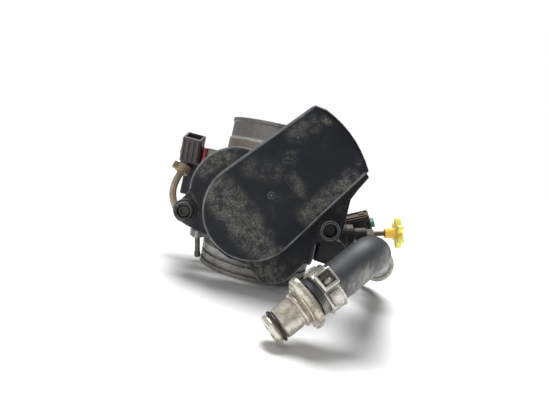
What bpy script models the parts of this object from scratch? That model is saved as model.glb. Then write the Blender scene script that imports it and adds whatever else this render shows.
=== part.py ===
"""Throttle body for a single-cylinder motorcycle engine, with its fuel hose.

The bore runs along +Z and the lower spigot's end face lies at z = 0. The throttle shaft runs
along Y, with the pulley and its cover on the -Y side and the position sensor on the +Y side.
Numbers are millimetres; the mesh helpers turn them into metres with MM.
"""

from math import cos, pi, radians, sin, sqrt

import bmesh
import bpy
from mathutils import Matrix, Vector

MM = 0.001
GAP = 0.3

# Casting
BORE_R = 21.0
LENGTH = 71.0
BORE_STEPS = 42
LOWER_R = 26.7
BARREL_R = 25.2
UPPER_R = 23.8
SHAFT_Z = 34.0

# Throttle shaft, along Y
SHAFT_R = 4.0
STUB_R = 3.2
SHAFT_BORE_R = 4.4
BUSH_POCKET_R = 6.2
FRONT_BOSS_Y = -28.7
REAR_BOSS_Y = 30.0
PLATE_R = 20.6
PLATE_T = 1.5
PLATE_REST_TILT = 6.0

# Pulley cover
COVER_FRONT_Y = -46.0
COVER_BASE_Y = -38.8
COVER_REAR_Y = -29.6
COVER_WALL = 1.8
ROUND_END = (-3.6, 33.0)
ROUND_R = 20.0
PANEL_BEVEL = 1.2
DUCT_TOP = (11.6, 79.6)
DUCT_LOW = (37.2, 58.6)
LOBE = (-12.0, 38.0)
LOBE_R = 19.3
LEFT_EAR = (-31.3, 26.6)
RIGHT_EAR = (28.6, 32.0)
EAR_R = 4.6
LEFT_SEAT_Y = -37.9
RIGHT_SEAT_Y = -35.5

# Injector: its axis lies in a vertical plane through the bore axis
INJECTOR_TURN = 20.0
INJECTOR_DROP = 60.0
INJECTOR_RADIUS = 38.0
INJECTOR_Z = 27.5
CONNECTOR_FOOT = 1.4
CONNECTOR_REACH = 20.9

# Starter valve and knob
STARTER_FOOT = (25.43, -2.0, 22.63)
STARTER_RISE = 15.0

# Fuel hose
HOSE_R = 6.25
HOSE_ROUTE = [
    (58.1, -11.6, 17.4),
    (55.5, -19.6, 19.2),
    (50.4, -34.5, 23.2),
    (45.7, -50.2, 27.3),
    (41.3, -64.7, 30.4),
    (36.8, -74.5, 30.1),
    (31.0, -78.5, 24.3),
    (22.13, -82.76, 15.4),
]
CLAMP_FRONT_FROM_END = 6.3
CLAMP_REAR_FROM_END = 8.3


# ---------------------------------------------------------------- helpers

def clear_scene():
    for obj in list(bpy.data.objects):
        bpy.data.objects.remove(obj, do_unlink=True)


def material(name, colour, roughness, metallic=0.0):
    made = bpy.data.materials.new(name)
    made.use_nodes = True
    shader = made.node_tree.nodes["Principled BSDF"]
    shader.inputs["Base Color"].default_value = (*colour, 1.0)
    shader.inputs["Roughness"].default_value = roughness
    shader.inputs["Metallic"].default_value = metallic
    return made


def smooth(mesh, angle=35.0):
    mesh.shade_smooth()
    mesh.set_sharp_from_angle(angle=radians(angle))


def new_object(name, bm, finish=None, parent=None):
    bmesh.ops.recalc_face_normals(bm, faces=bm.faces)
    mesh = bpy.data.meshes.new(name)
    bm.to_mesh(mesh)
    bm.free()
    smooth(mesh)
    obj = bpy.data.objects.new(name, mesh)
    bpy.context.scene.collection.objects.link(obj)
    if finish:
        mesh.materials.append(finish)
    if parent:
        obj.parent = parent
    return obj


def frame_matrix(at, along, across=None):
    """A placement whose Z runs along one direction and whose X leans towards another."""
    z = Vector(along).normalized()
    hint = Vector(across) if across else Vector((1, 0, 0)) if abs(z.x) < 0.9 else Vector((0, 1, 0))
    x = (hint - z * hint.dot(z)).normalized()
    y = z.cross(x)
    turn = Matrix((x, y, z)).transposed().to_4x4()
    return Matrix.Translation(Vector(at) * MM) @ turn


def place(obj, at, along=(0, 0, 1), across=None):
    obj.matrix_local = frame_matrix(at, along, across)
    return obj


def lathe(name, profile, steps=24, ring=False, finish=None, parent=None):
    """Turns (radius, height) points about Z. A ring's profile closes on itself."""
    bm = bmesh.new()
    points = [bm.verts.new((radius * MM, 0, height * MM)) for radius, height in profile]
    ends = points[1:] + points[:1] if ring else points[1:]
    edges = [bm.edges.new(pair) for pair in zip(points, ends)]
    bmesh.ops.spin(bm, geom=points + edges, cent=(0, 0, 0), axis=(0, 0, 1), angle=2 * pi, steps=steps)
    bmesh.ops.remove_doubles(bm, verts=bm.verts, dist=1e-6)
    bmesh.ops.dissolve_degenerate(bm, edges=bm.edges, dist=1e-7)
    tips = [v for v in bm.verts if v.co.xy.length < 1e-7]
    flat = [v for v in tips if all(abs(e.other_vert(v).co.z - v.co.z) < 1e-7 for e in v.link_edges)]
    bmesh.ops.dissolve_verts(bm, verts=flat)
    return new_object(name, bm, finish, parent)


def rod(name, radius, low, high, steps=14, chamfer=0.0, finish=None, parent=None):
    profile = [(0, low), (radius - chamfer, low)]
    if chamfer:
        profile += [(radius, low + chamfer), (radius, high - chamfer)]
    profile += [(radius - chamfer, high), (0, high)]
    return lathe(name, profile, steps, finish=finish, parent=parent)


def washer(name, inner, outer, low, high, steps=20, finish=None, parent=None):
    profile = [(inner, low), (outer, low), (outer, high), (inner, high)]
    return lathe(name, profile, steps, True, finish, parent)


def torus(name, major, minor, steps=20, sides=6, finish=None, parent=None):
    angles = [2 * pi * i / sides for i in range(sides)]
    profile = [(major + minor * cos(a), minor * sin(a)) for a in angles]
    return lathe(name, profile, steps, True, finish, parent)


def box(name, size, centre=(0, 0, 0), chamfer=0.0, finish=None, parent=None):
    bm = bmesh.new()
    bmesh.ops.create_cube(bm, size=1.0)
    bmesh.ops.scale(bm, vec=Vector(size) * MM, verts=bm.verts)
    bmesh.ops.translate(bm, vec=Vector(centre) * MM, verts=bm.verts)
    if chamfer:
        bmesh.ops.bevel(bm, geom=bm.edges[:], offset=chamfer * MM, segments=2, profile=0.5, affect="EDGES")
    return new_object(name, bm, finish, parent)


def prism(name, outline, low, high, chamfer=0.0, finish=None, parent=None, segments=2):
    """Extrudes an outline in the local XY plane along Z. The chamfer is on the low end's rim."""
    bm = bmesh.new()
    face = bm.faces.new([bm.verts.new((x * MM, y * MM, low * MM)) for x, y in outline])
    grown = bmesh.ops.extrude_face_region(bm, geom=[face])
    raised = [item for item in grown["geom"] if isinstance(item, bmesh.types.BMVert)]
    bmesh.ops.translate(bm, vec=(0, 0, (high - low) * MM), verts=raised)
    if chamfer:
        rim = [e for e in bm.edges if all(abs(v.co.z - low * MM) < 1e-7 for v in e.verts)]
        bevel = {"offset": chamfer * MM, "segments": segments, "profile": 0.5, "affect": "EDGES"}
        bmesh.ops.bevel(bm, geom=rim, **bevel)
    return new_object(name, bm, finish, parent)


def wall_prism(name, outline, front, rear, chamfer=0.0, segments=2):
    """A prism whose outline is in the world's XZ plane, between two y values."""
    flat = [(x, -z) for x, z in outline]
    made = prism(name, flat, front, rear, chamfer, segments=segments)
    return place(made, (0, 0, 0), (0, 1, 0), (1, 0, 0))


def apply_boolean(target, tool, operation):
    modifier = target.modifiers.new(operation.lower(), "BOOLEAN")
    modifier.operation = operation
    modifier.solver = "EXACT"
    modifier.object = tool
    tool.hide_render = True
    tool.display_type = "WIRE"
    bpy.context.view_layer.update()
    graph = bpy.context.evaluated_depsgraph_get()
    finish = target.data.materials[0] if target.data.materials else None
    mesh = bpy.data.meshes.new_from_object(target.evaluated_get(graph))
    target.modifiers.clear()
    target.data = mesh
    mesh.materials.clear()
    if finish:
        mesh.materials.append(finish)
    smooth(mesh)
    bpy.data.objects.remove(tool, do_unlink=True)


def add(target, *tools):
    for tool in tools:
        apply_boolean(target, tool, "UNION")


def cut(target, *tools):
    for tool in tools:
        apply_boolean(target, tool, "DIFFERENCE")


def arc(centre, radius, start, stop, steps):
    """Points on an arc from one angle to another, in degrees, both ends included."""
    turns = [radians(start + (stop - start) * i / steps) for i in range(steps + 1)]
    return [(centre[0] + radius * cos(a), centre[1] + radius * sin(a)) for a in turns]


def inset(outline, distance):
    """The outline moved inwards. Its points run anticlockwise."""
    moved = []
    count = len(outline)
    for i, (x, y) in enumerate(outline):
        before = Vector((x, y)) - Vector(outline[i - 1])
        after = Vector(outline[(i + 1) % count]) - Vector((x, y))
        first = Vector((-before.y, before.x)).normalized()
        second = Vector((-after.y, after.x)).normalized()
        shift = (first + second) / (1 + first.dot(second)) * distance
        moved.append((x + shift.x, y + shift.y))
    return moved


def hexagon(across_flats):
    return arc((0, 0), across_flats / sqrt(3), 0, 300, 5)


def smooth_route(points, per_span):
    """Points on a Catmull-Rom curve through the given ones."""
    known = [Vector(p) for p in points]
    known = [2 * known[0] - known[1]] + known + [2 * known[-1] - known[-2]]
    route = []
    for before, start, end, after in zip(known, known[1:], known[2:], known[3:]):
        for i in range(per_span):
            t = i / per_span
            square = (2 * before - 5 * start + 4 * end - after) * t**2
            cube = (3 * start - before - 3 * end + after) * t**3
            route.append((2 * start + (end - before) * t + square + cube) / 2)
    route.append(known[-2])
    return route


def tube(name, points, radius, finish, resolution=3, parent=None):
    curve = bpy.data.curves.new(name, "CURVE")
    curve.dimensions = "3D"
    curve.bevel_depth = radius * MM
    curve.bevel_resolution = resolution
    curve.use_fill_caps = True
    spline = curve.splines.new("POLY")
    spline.points.add(len(points) - 1)
    for point, place_at in zip(spline.points, points):
        point.co = (*(Vector(place_at) * MM), 1.0)
    curve.materials.append(finish)
    obj = bpy.data.objects.new(name, curve)
    bpy.context.scene.collection.objects.link(obj)
    if parent:
        obj.parent = parent
    return obj


def coil(name, radius, wire, low, high, turns, finish, parent=None):
    """A helical spring about the local Z axis."""
    count = int(turns * 12)
    points = []
    for i in range(count + 1):
        angle = 2 * pi * turns * i / count
        height = low + (high - low) * i / count
        points.append((radius * cos(angle), radius * sin(angle), height))
    return tube(name, points, wire, finish, 1, parent)


def mesh_from_curve(obj):
    """The same tube as a mesh object, for use in a Boolean."""
    graph = bpy.context.evaluated_depsgraph_get()
    mesh = bpy.data.meshes.new_from_object(obj.evaluated_get(graph))
    made = bpy.data.objects.new(obj.name + "_mesh", mesh)
    bpy.context.scene.collection.objects.link(made)
    bpy.data.objects.remove(obj, do_unlink=True)
    return made


def cap_screw(name, head_r, head_h, shank_r, length, finish, at, along, parent=None):
    """A socket head screw. Its head's under side is at the given point and its shank runs along."""
    profile = [
        (0, length), (shank_r - 0.3, length), (shank_r, length - 0.4), (shank_r, 0),
        (head_r, 0), (head_r, -head_h + 0.3), (head_r - 0.3, -head_h), (0, -head_h),
    ]
    screw = lathe(name, profile, 16, finish=finish, parent=parent)
    socket = prism("socket", hexagon(head_r * 1.1), -head_h - 1, -head_h * 0.45)
    cut(screw, socket)
    return place(screw, at, along)


def hex_screw(name, across, head_h, shank_r, length, finish, at, along, parent=None):
    """A hexagon head screw, placed like a cap screw."""
    screw = prism(name, hexagon(across), -head_h, 0, 0.3, finish, parent)
    profile = [(0, -0.4), (shank_r, -0.4), (shank_r, length - 0.4), (shank_r - 0.3, length), (0, length)]
    add(screw, lathe("shank", profile, 10))
    return place(screw, at, along)


# ---------------------------------------------------------------- directions

def polar(radius, turn, z):
    return Vector((radius * cos(radians(turn)), radius * sin(radians(turn)), z))


INJECTOR_AXIS = Vector((
    cos(radians(INJECTOR_DROP)) * cos(radians(INJECTOR_TURN)),
    cos(radians(INJECTOR_DROP)) * sin(radians(INJECTOR_TURN)),
    -sin(radians(INJECTOR_DROP)),
))
INJECTOR_AT = polar(INJECTOR_RADIUS, INJECTOR_TURN, INJECTOR_Z)
CONNECTOR_AXIS = Vector((0.881, -0.148, 0.449)).normalized()
STARTER_AXIS = Vector((cos(radians(STARTER_RISE)), 0, sin(radians(STARTER_RISE))))
HOSE_PATH = smooth_route(HOSE_ROUTE, 2)
JOINT_AT = Vector(HOSE_ROUTE[-1])
JOINT_AXIS = Vector((-0.667, -0.330, -0.668)).normalized()
FLANGE_LONG = Vector((0.659, 0.265, -0.704))
PRESSURE_AT = (-40.15, 0.0, 49.3)
PRESSURE_SCREW = (4.2, 48.9)
SOCKET_MOUTH = (-39.7, -8.9, 58.0)
SOCKET_AXIS = Vector((0.04, -0.34, 0.94)).normalized()


def along_injector(distance):
    return INJECTOR_AT + INJECTOR_AXIS * distance


def along_joint(distance):
    return JOINT_AT + JOINT_AXIS * distance


def hose_at(distance, from_front):
    """Centre and direction at a distance along the hose from one of its ends."""
    path = HOSE_PATH[::-1] if from_front else HOSE_PATH
    left = distance
    for start, end in zip(path, path[1:]):
        span = (end - start).length
        if left <= span:
            return start + (end - start) * (left / span), (end - start).normalized()
        left -= span
    return path[-1], (path[-1] - path[-2]).normalized()


# ---------------------------------------------------------------- casting

PIPE_LUG_TURN = 62.0
PIPE_LUG_Z = 16.0
BRACKET_SCREWS = ((7.0, 52.0), (14.5, 46.5))
SENSOR_LUGS = ((-14.5, SHAFT_Z), (14.5, SHAFT_Z))
PAD_X = -33.0
DRAIN_AT = (-28.7, -11.0, 12.3)
DRAIN_AXIS = (0.2, 0.0, -0.98)
DRAIN_TURN = 200.8
BYPASS_X = 26.5
HOSE_PORT = (-23.0, -9.0, 18.6)


def casting_outside(finish):
    profile = [
        (0, 0), (LOWER_R, 0), (LOWER_R, 1.8), (25.7, 2.1), (25.7, 3.1), (LOWER_R, 3.4),
        (LOWER_R, 5.6), (25.7, 5.9), (25.7, 6.9), (26.9, 7.2), (26.9, 10.0), (BARREL_R, 11.6),
        (BARREL_R, 50.0), (24.4, 54.0), (24.4, 61.6), (UPPER_R, 62.2), (UPPER_R, 69.2),
        (24.3, 69.6), (24.3, LENGTH), (0, LENGTH),
    ]
    return lathe("throttle_body", profile, BORE_STEPS, finish=finish)


def casting_bosses():
    front = rod("front_boss", 8.5, FRONT_BOSS_Y, -18, 24)
    place(front, (0, 0, SHAFT_Z), (0, 1, 0))
    rear = rod("rear_boss", 9.0, 18, REAR_BOSS_Y, 24)
    place(rear, (0, 0, SHAFT_Z), (0, 1, 0))
    sensor_pads = []
    for x, z in SENSOR_LUGS:
        pad = rod("sensor_pad", 4.2, 15, REAR_BOSS_Y - 0.1)
        sensor_pads.append(place(pad, (x, 0, z), (0, 1, 0)))
    ears = []
    for x, z in (LEFT_EAR, RIGHT_EAR):
        ear = rod("ear", EAR_R, COVER_REAR_Y + GAP, -15.5, 18)
        ears.append(place(ear, (x, 0, z), (0, 1, 0)))
        web = box("web", (abs(x) - 15, 7.5, 5.4))
        side = 1 if x > 0 else -1
        ears.append(place(web, (side * (abs(x) + 13) / 2, -20.2, z + 0.15)))
    mounts = []
    for x, z in BRACKET_SCREWS:
        boss = rod("bracket_boss", 3.6, FRONT_BOSS_Y, -15)
        mounts.append(place(boss, (x, 0, z), (0, 1, 0)))
    pad = box("pressure_pad", (12, 15, 10.4), (PAD_X + 6, 0.2, PRESSURE_SCREW[1]), 0.8)
    injector = place(rod("injector_boss", 8.0, -36, -11, 24, 0.6), INJECTOR_AT, INJECTOR_AXIS)
    starter = place(rod("starter_boss", 7.0, -6, 7.5, 22, 0.5), STARTER_FOOT, STARTER_AXIS)
    lug = rod("pipe_lug", 4.2, 20, 30.6)
    place(lug, (0, 0, PIPE_LUG_Z), polar(1, PIPE_LUG_TURN, 0))
    port = place(rod("hose_port", 3.6, 0, 5.4), HOSE_PORT, (-0.93, -0.37, 0))
    drain = place(rod("drain_boss", 2.6, -2.4, 0.9), DRAIN_AT, DRAIN_AXIS)
    drain_web = box("drain_web", (11.6, 4.2, 2.8))
    place(drain_web, polar(28.5, DRAIN_TURN, 13.4), (0, 0, 1), polar(1, DRAIN_TURN, 0))
    bypass = box("bypass_pad", (10.0, 9.0, 8.6), (BYPASS_X - GAP - 5.0, -17.5, 19.6), 0.5)
    bosses = [front, rear, *sensor_pads, *ears, *mounts, pad]
    return bosses + [injector, starter, lug, port, drain, drain_web, bypass]


def casting_cavities():
    bore = lathe("bore", [
        (0, -1), (22.9, -1), (22.9, 0.0), (22.0, 3.0), (BORE_R, 9.0), (BORE_R, 66.0),
        (21.6, LENGTH), (21.6, LENGTH + 1), (0, LENGTH + 1),
    ], BORE_STEPS)
    pocket_end = FRONT_BOSS_Y + 6.3
    shaft_line = lathe("shaft_line", [
        (0, -40), (BUSH_POCKET_R, -40), (BUSH_POCKET_R, pocket_end), (SHAFT_BORE_R, pocket_end),
        (SHAFT_BORE_R, -pocket_end), (BUSH_POCKET_R, -pocket_end), (BUSH_POCKET_R, 40), (0, 40),
    ], 30)
    place(shaft_line, (0, 0, SHAFT_Z), (0, 1, 0))
    holes = []
    for x, z in (LEFT_EAR, RIGHT_EAR):
        holes.append(place(rod("ear_hole", 2.0, -40, -17.5, 10), (x, 0, z), (0, 1, 0)))
    for x, z in BRACKET_SCREWS:
        holes.append(place(rod("bracket_hole", 1.7, -40, -21.6, 10), (x, 0, z), (0, 1, 0)))
    for x, z in SENSOR_LUGS:
        holes.append(place(rod("sensor_hole", 1.7, 20.9, 40, 10), (x, 0, z), (0, 1, 0)))
    holes.append(place(rod("pressure_hole", 1.7, -40, -23.5, 10), (0, *PRESSURE_SCREW), (1, 0, 0)))
    holes.append(place(rod("injector_hole", 5.2, -34, -5, 22), INJECTOR_AT, INJECTOR_AXIS))
    holes.append(place(rod("starter_hole", 5.0, 0.4, 12, 22), STARTER_FOOT, STARTER_AXIS))
    lug_hole = rod("lug_hole", 1.9, 24, 40, 10)
    holes.append(place(lug_hole, (0, 0, PIPE_LUG_Z), polar(1, PIPE_LUG_TURN, 0)))
    holes.append(place(rod("port_hole", 1.9, 1.4, 12, 10), HOSE_PORT, (-0.93, -0.37, 0)))
    holes.append(place(rod("drain_hole", 1.7, -1.6, 12, 12), DRAIN_AT, DRAIN_AXIS))
    return [bore, shaft_line, *holes]


def make_throttle_body(finish):
    body = casting_outside(finish)
    add(body, *casting_bosses())
    cut(body, *casting_cavities())


# ---------------------------------------------------------------- throttle shaft group

def make_throttle_shaft(axis, finish):
    profile = [
        (0, -42.6), (STUB_R - 0.5, -42.6), (STUB_R, -42.1), (STUB_R, -30.2), (SHAFT_R, -30.2),
        (SHAFT_R, 31.2), (2.6, 31.2), (2.6, 36.4), (0, 36.4),
    ]
    shaft = lathe("throttle_shaft", profile, 24, finish=finish, parent=axis)
    place(shaft, (0, 0, 0), (0, 1, 0))
    flat = box("flat", (12, 2 * PLATE_R + 0.8, 8), (0, 0, 4 - GAP))
    flat.parent = axis
    flat.rotation_euler.y = radians(PLATE_REST_TILT)
    cut(shaft, flat)
    for y in (-9.0, 9.0):
        hole = rod("screw_hole", 1.75, -8, 8, 12)
        hole.parent = axis
        tilt = radians(PLATE_REST_TILT)
        place(hole, (0, y, 0), (sin(tilt), 0, cos(tilt)))
        cut(shaft, hole)


def make_throttle_plate(axis, finish):
    profile = [
        (0, 0), (PLATE_R - 0.35, 0), (PLATE_R, PLATE_T / 2), (PLATE_R - 0.35, PLATE_T), (0, PLATE_T),
    ]
    plate = lathe("throttle_plate", profile, BORE_STEPS, finish=finish, parent=axis)
    for y in (-9.0, 9.0):
        hole = rod("plate_hole", 1.75, -2, 4, 12)
        hole.parent = axis
        cut(plate, place(hole, (0, y, 0)))
    plate.rotation_euler.y = radians(PLATE_REST_TILT)


def make_plate_screws(axis, finish):
    tilt = radians(PLATE_REST_TILT)
    normal = Vector((sin(tilt), 0, cos(tilt)))
    for name, y in (("plate_screw_front", -9.0), ("plate_screw_rear", 9.0)):
        under_head = normal * (PLATE_T + GAP) + Vector((0, y, 0))
        profile = [
            (0, 5.4), (1.1, 5.4), (1.4, 5.0), (1.4, 0), (2.9, 0), (2.7, -0.9), (1.8, -1.5), (0, -1.7),
        ]
        screw = lathe(name, profile, 14, finish=finish, parent=axis)
        slot = box("slot", (7, 0.7, 1.6), (0, 0, -1.7))
        slot.parent = axis
        cut(screw, slot)
        place(screw, under_head, -normal)


def make_pulley(axis, finish):
    profile = [
        (3.5, -30.7), (6.6, -30.7), (6.6, -31.7), (13.8, -31.5), (13.8, -31.9), (12.2, -32.9),
        (13.8, -33.9), (12.2, -34.9), (13.8, -35.9), (13.8, -36.3), (6.6, -35.9), (6.6, -36.7),
        (3.5, -36.7),
    ]
    pulley = lathe("throttle_pulley", profile, 24, True, finish, axis)
    place(pulley, (0, 0, 0), (0, 1, 0))
    for turn in (35.0, 215.0):
        x, z = 9.7 * cos(radians(turn)), 9.7 * sin(radians(turn))
        pocket = rod("cable_end_pocket", 1.8, -40, -28, 10)
        pocket.parent = axis
        cut(pulley, place(pocket, (x, 0, z), (0, 1, 0)))


def make_pulley_fastening(axis, steel):
    ring = washer("pulley_washer", 3.5, 6.2, -37.9, -37.0, 20, steel, axis)
    place(ring, (0, 0, 0), (0, 1, 0))
    nut = prism("pulley_nut", hexagon(10.0), -41.6, -38.2, 0.4, steel, axis)
    hole = rod("nut_hole", 3.5, -45, -35, 16)
    hole.parent = axis
    cut(nut, hole)
    place(nut, (0, 0, 0), (0, 1, 0))


def make_shaft_bearings(bronze, rubber):
    sets = (("front", -27.0, -22.7, -28.6, -27.3), ("rear", 22.7, 27.0, 27.3, 28.9))
    for side, bush_low, bush_high, seal_low, seal_high in sets:
        bush = washer(f"shaft_bush_{side}", 4.15, 5.9, bush_low, bush_high, 24, bronze)
        place(bush, (0, 0, SHAFT_Z), (0, 1, 0))
        seal = washer(f"shaft_seal_{side}", 4.2, 5.9, seal_low, seal_high, 24, rubber)
        place(seal, (0, 0, SHAFT_Z), (0, 1, 0))


def make_return_spring(steel):
    spring = coil("return_spring", 10.6, 0.6, -30.0, -26.6, 2.5, steel)
    place(spring, (0, 0, SHAFT_Z), (0, 1, 0))


# ---------------------------------------------------------------- pulley cover

def panel_outline():
    """The raised panel: a round end, two straight sides and a bowed duct end, anticlockwise."""
    round_end = arc(ROUND_END, ROUND_R, 136, 326, 22)
    chord = Vector(DUCT_TOP) - Vector(DUCT_LOW)
    bow = Vector((-chord.y, chord.x)).normalized() * -3.2
    end = []
    for i in range(9):
        t = i / 8
        point = Vector(DUCT_LOW) + chord * t + bow * (4 * t * (1 - t))
        end.append((point.x, point.y))
    side = (Vector(round_end[0]) - Vector(DUCT_TOP)).normalized()
    corner = [Vector(DUCT_TOP) + side * 0.5 - Vector((0, 0.5)), Vector(DUCT_TOP) + side * 2.2]
    return round_end + end[:-1] + [(c.x, c.y) for c in corner]


def base_outline():
    """The lower level behind the panel: a lobe on the left, a skirt below and an ear on the right."""
    lobe = arc(LOBE, LOBE_R, 79, 188, 14)
    left = [
        (-27.7, 31.0), (-24.4, 26.5), (-22.7, 23.3), (-20.5, 19.6), (-16.8, 15.5), (-13.5, 13.1),
        (-9.7, 11.4), (-4.3, 10.9),
    ]
    skirt = [
        (-1.6, 10.4), (1.1, 8.1), (4.7, 4.4), (6.8, 3.8), (11.3, 4.6), (15.6, 6.7), (17.9, 9.4),
        (20.4, 13.4),
        (22.0, 16.0), (24.2, 16.4), (24.7, 19.0), (24.6, 25.3),
    ]
    right = [(26.6, 26.9), (30.0, 26.9), (32.4, 28.4), (33.9, 31.6), (34.1, 36.0), (34.1, 46.0)]
    duct = [(36.3, 51.0), (39.2, 56.4), (35.4, 60.4), (29.0, 59.0), (-2.0, 53.0)]
    return lobe + left + skirt + right + duct


def duct_mouth():
    """The cable way's outline, carried past the bowed end so that the duct is open there."""
    axis = (Vector(DUCT_TOP) + Vector(DUCT_LOW)) / 2 - Vector(ROUND_END)
    reach = axis.normalized() * 8
    top = Vector(DUCT_TOP) + (Vector(DUCT_LOW) - Vector(DUCT_TOP)).normalized() * 2.4
    low = Vector(DUCT_LOW) + (Vector(DUCT_TOP) - Vector(DUCT_LOW)).normalized() * 2.4
    back = axis.normalized() * -12
    corners = [low + back, low + reach, top + reach, top + back]
    return [(c.x, c.y) for c in corners]


def make_pulley_cover(finish):
    panel = panel_outline()
    base = base_outline()
    cover = wall_prism("pulley_cover", panel, COVER_FRONT_Y, COVER_REAR_Y, PANEL_BEVEL, 3)
    cover.data.materials.append(finish)
    level = wall_prism("base", base, COVER_BASE_Y, COVER_REAR_Y - 0.02, 0.5)
    cut(level, wall_prism("recess", inset(base, 1.2), COVER_BASE_Y - 1, COVER_BASE_Y + 0.5))
    add(cover, level)
    x, z = LEFT_EAR
    web = [(-30.9, 35.5), (-34.0, 31.0), (x - 5.0, z), (-33.6, 22.2), (-30.2, 20.6), (-21.0, 18.4)]
    web.append((-24.0, 31.0))
    add(cover, wall_prism("ear_web", web, -37.0, COVER_REAR_Y - 0.01, 0.5))
    cut(cover, wall_prism("panel_room", inset(panel, COVER_WALL), COVER_FRONT_Y + COVER_WALL, -20))
    cut(cover, wall_prism("base_room", inset(base, COVER_WALL + 0.3), COVER_BASE_Y + COVER_WALL, -20))
    cut(cover, wall_prism("mouth", duct_mouth(), COVER_FRONT_Y + COVER_WALL, -20))
    left_ear = lathe("cover_ear", [
        (0, COVER_REAR_Y + 0.02), (5.1, COVER_REAR_Y + 0.02), (5.1, -37.2), (4.7, -37.6), (3.9, -37.6),
        (3.9, -40.2), (3.6, -40.5), (0, -40.5),
    ], 24)
    add(cover, place(left_ear, (x, 0, z), (0, 1, 0)))
    x, z = RIGHT_EAR
    right_ear = rod("cover_ear", EAR_R - 0.3, -41.0, COVER_REAR_Y + 0.02, 24, 0.4)
    add(cover, place(right_ear, (x, 0, z), (0, 1, 0)))
    for (x, z), seat, radius in ((LEFT_EAR, LEFT_SEAT_Y, 2.8), (RIGHT_EAR, RIGHT_SEAT_Y, 3.0)):
        way = lathe("screw_way", [
            (0, -50), (radius, -50), (radius, seat), (2.1, seat), (2.1, -20), (0, -20),
        ], 20)
        cut(cover, place(way, (x, 0, z), (0, 1, 0)))


def make_cover_screws(steel):
    x, z = LEFT_EAR
    cap_screw("cover_screw_left", 2.4, 1.7, 1.7, 19.8, steel, (x, LEFT_SEAT_Y - GAP, z), (0, 1, 0))
    x, z = RIGHT_EAR
    cap_screw("cover_screw_right", 2.6, 1.7, 1.7, 17.4, steel, (x, RIGHT_SEAT_Y - GAP, z), (0, 1, 0))


def make_cable_bracket(steel):
    """A pressed plate: a foot on two casting bosses and a tongue across the duct with two cable holes."""
    foot = [(3.0, 54.5), (6.0, 48.6), (13.0, 42.6), (18.4, 44.0), (28.6, 57.0), (17.4, 65.8)]
    bracket = wall_prism("cable_bracket", foot, FRONT_BOSS_Y - 2.0, FRONT_BOSS_Y - GAP)
    bracket.data.materials.append(steel)
    duct = Vector((0.617, 0, 0.787))
    across = Vector((-0.787, 0, 0.617))
    middle = Vector((23.0, -36.2, 61.4))
    tongue = box("tongue", (13.2, 12.6, 1.8))
    place(tongue, middle - duct * 0.6, duct, across)
    add(bracket, tongue)
    for side in (-3.3, 3.3):
        hole = rod("cable_hole", 2.2, -5, 5)
        cut(bracket, place(hole, middle + across * side + Vector((0, -1.2, 0)), duct))
    for x, z in BRACKET_SCREWS:
        hole = rod("foot_hole", 1.7, -40, -20, 10)
        cut(bracket, place(hole, (x, 0, z), (0, 1, 0)))
    for name, (x, z) in zip(("bracket_screw_upper", "bracket_screw_lower"), BRACKET_SCREWS):
        hex_screw(name, 5.0, 2.0, 1.4, 7.4, steel, (x, FRONT_BOSS_Y - 2.0 - GAP, z), (0, 1, 0))


# ---------------------------------------------------------------- sensors

def hollow_socket(name, size, wall, depth, chamfer=0.6):
    """A connector shroud about the local Z axis, with its mouth at z = 0 and its back below."""
    width, thick, length = size
    shroud = box(name, size, (0, 0, -length / 2), chamfer)
    room = box("room", (width - 2 * wall, thick - 2 * wall, depth + 2), (0, 0, -depth / 2 + 1))
    cut(shroud, room)
    return shroud


def make_pressure_sensor(finish):
    sensor = box("pressure_sensor", (10.1, 16.6, 8.6), PRESSURE_AT, 1.0, finish)
    shroud = hollow_socket("shroud", (9.0, 9.0, 12.4), 1.15, 9.0)
    add(sensor, place(shroud, SOCKET_MOUTH, SOCKET_AXIS, (1, 0, 0)))
    add(sensor, box("port_block", (7.4, 8.0, 16.6), (-39.6, 2.0, 37.4), 0.8))
    hole = rod("screw_hole", 1.9, -50, -20, 10)
    cut(sensor, place(hole, (0, *PRESSURE_SCREW), (1, 0, 0)))


def make_pressure_details(steel, red, tan, brass, tan_metal):
    gasket = box("sensor_gasket", (1.5, 14.4, 9.8), (PAD_X - GAP - 0.75, 0.0, PRESSURE_SCREW[1]), 0.3, red)
    hole = rod("gasket_hole", 1.9, -50, -20, 10)
    cut(gasket, place(hole, (0, *PRESSURE_SCREW), (1, 0, 0)))
    hex_screw("pressure_screw", 5.5, 2.4, 1.4, 19.2, steel, (-45.5, *PRESSURE_SCREW), (1, 0, 0))
    route = [
        (-42.2, -6.2, 43.8), (-42.9, -7.1, 40.9), (-44.0, -9.6, 36.2), (-44.2, -11.8, 31.2),
        (-42.6, -13.2, 26.2), (-39.4, -14.0, 22.2), (-35.8, -13.6, 19.4), (-31.65, -12.44, 18.6),
    ]
    tube("vacuum_hose", smooth_route(route, 2), 1.7, tan, 2)
    clip = washer("hose_clip", 2.2, 3.4, -1.9, 1.9, 16, tan_metal)
    place(clip, (-42.7, -6.85, 41.5), (0.24, 0.31, 0.92))
    tab = box("tab", (2.4, 3.6, 3.4), (4.0, 0, 0), 0.3)
    tab.matrix_local = clip.matrix_basis @ Matrix.Rotation(radians(200), 4, "Z")
    add(clip, tab)
    nipple = rod("hose_nipple", 1.5, 1.9, 9.0, 12, 0.3, brass)
    place(nipple, HOSE_PORT, (-0.93, -0.37, 0))
    drain = lathe("drain_nipple", [
        (0, -1.2), (1.3, -1.2), (1.3, 7.6), (1.5, 8.0), (1.5, 9.4), (1.2, 10.4), (0, 10.4),
    ], 14, finish=tan_metal)
    place(drain, DRAIN_AT, DRAIN_AXIS)


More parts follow.
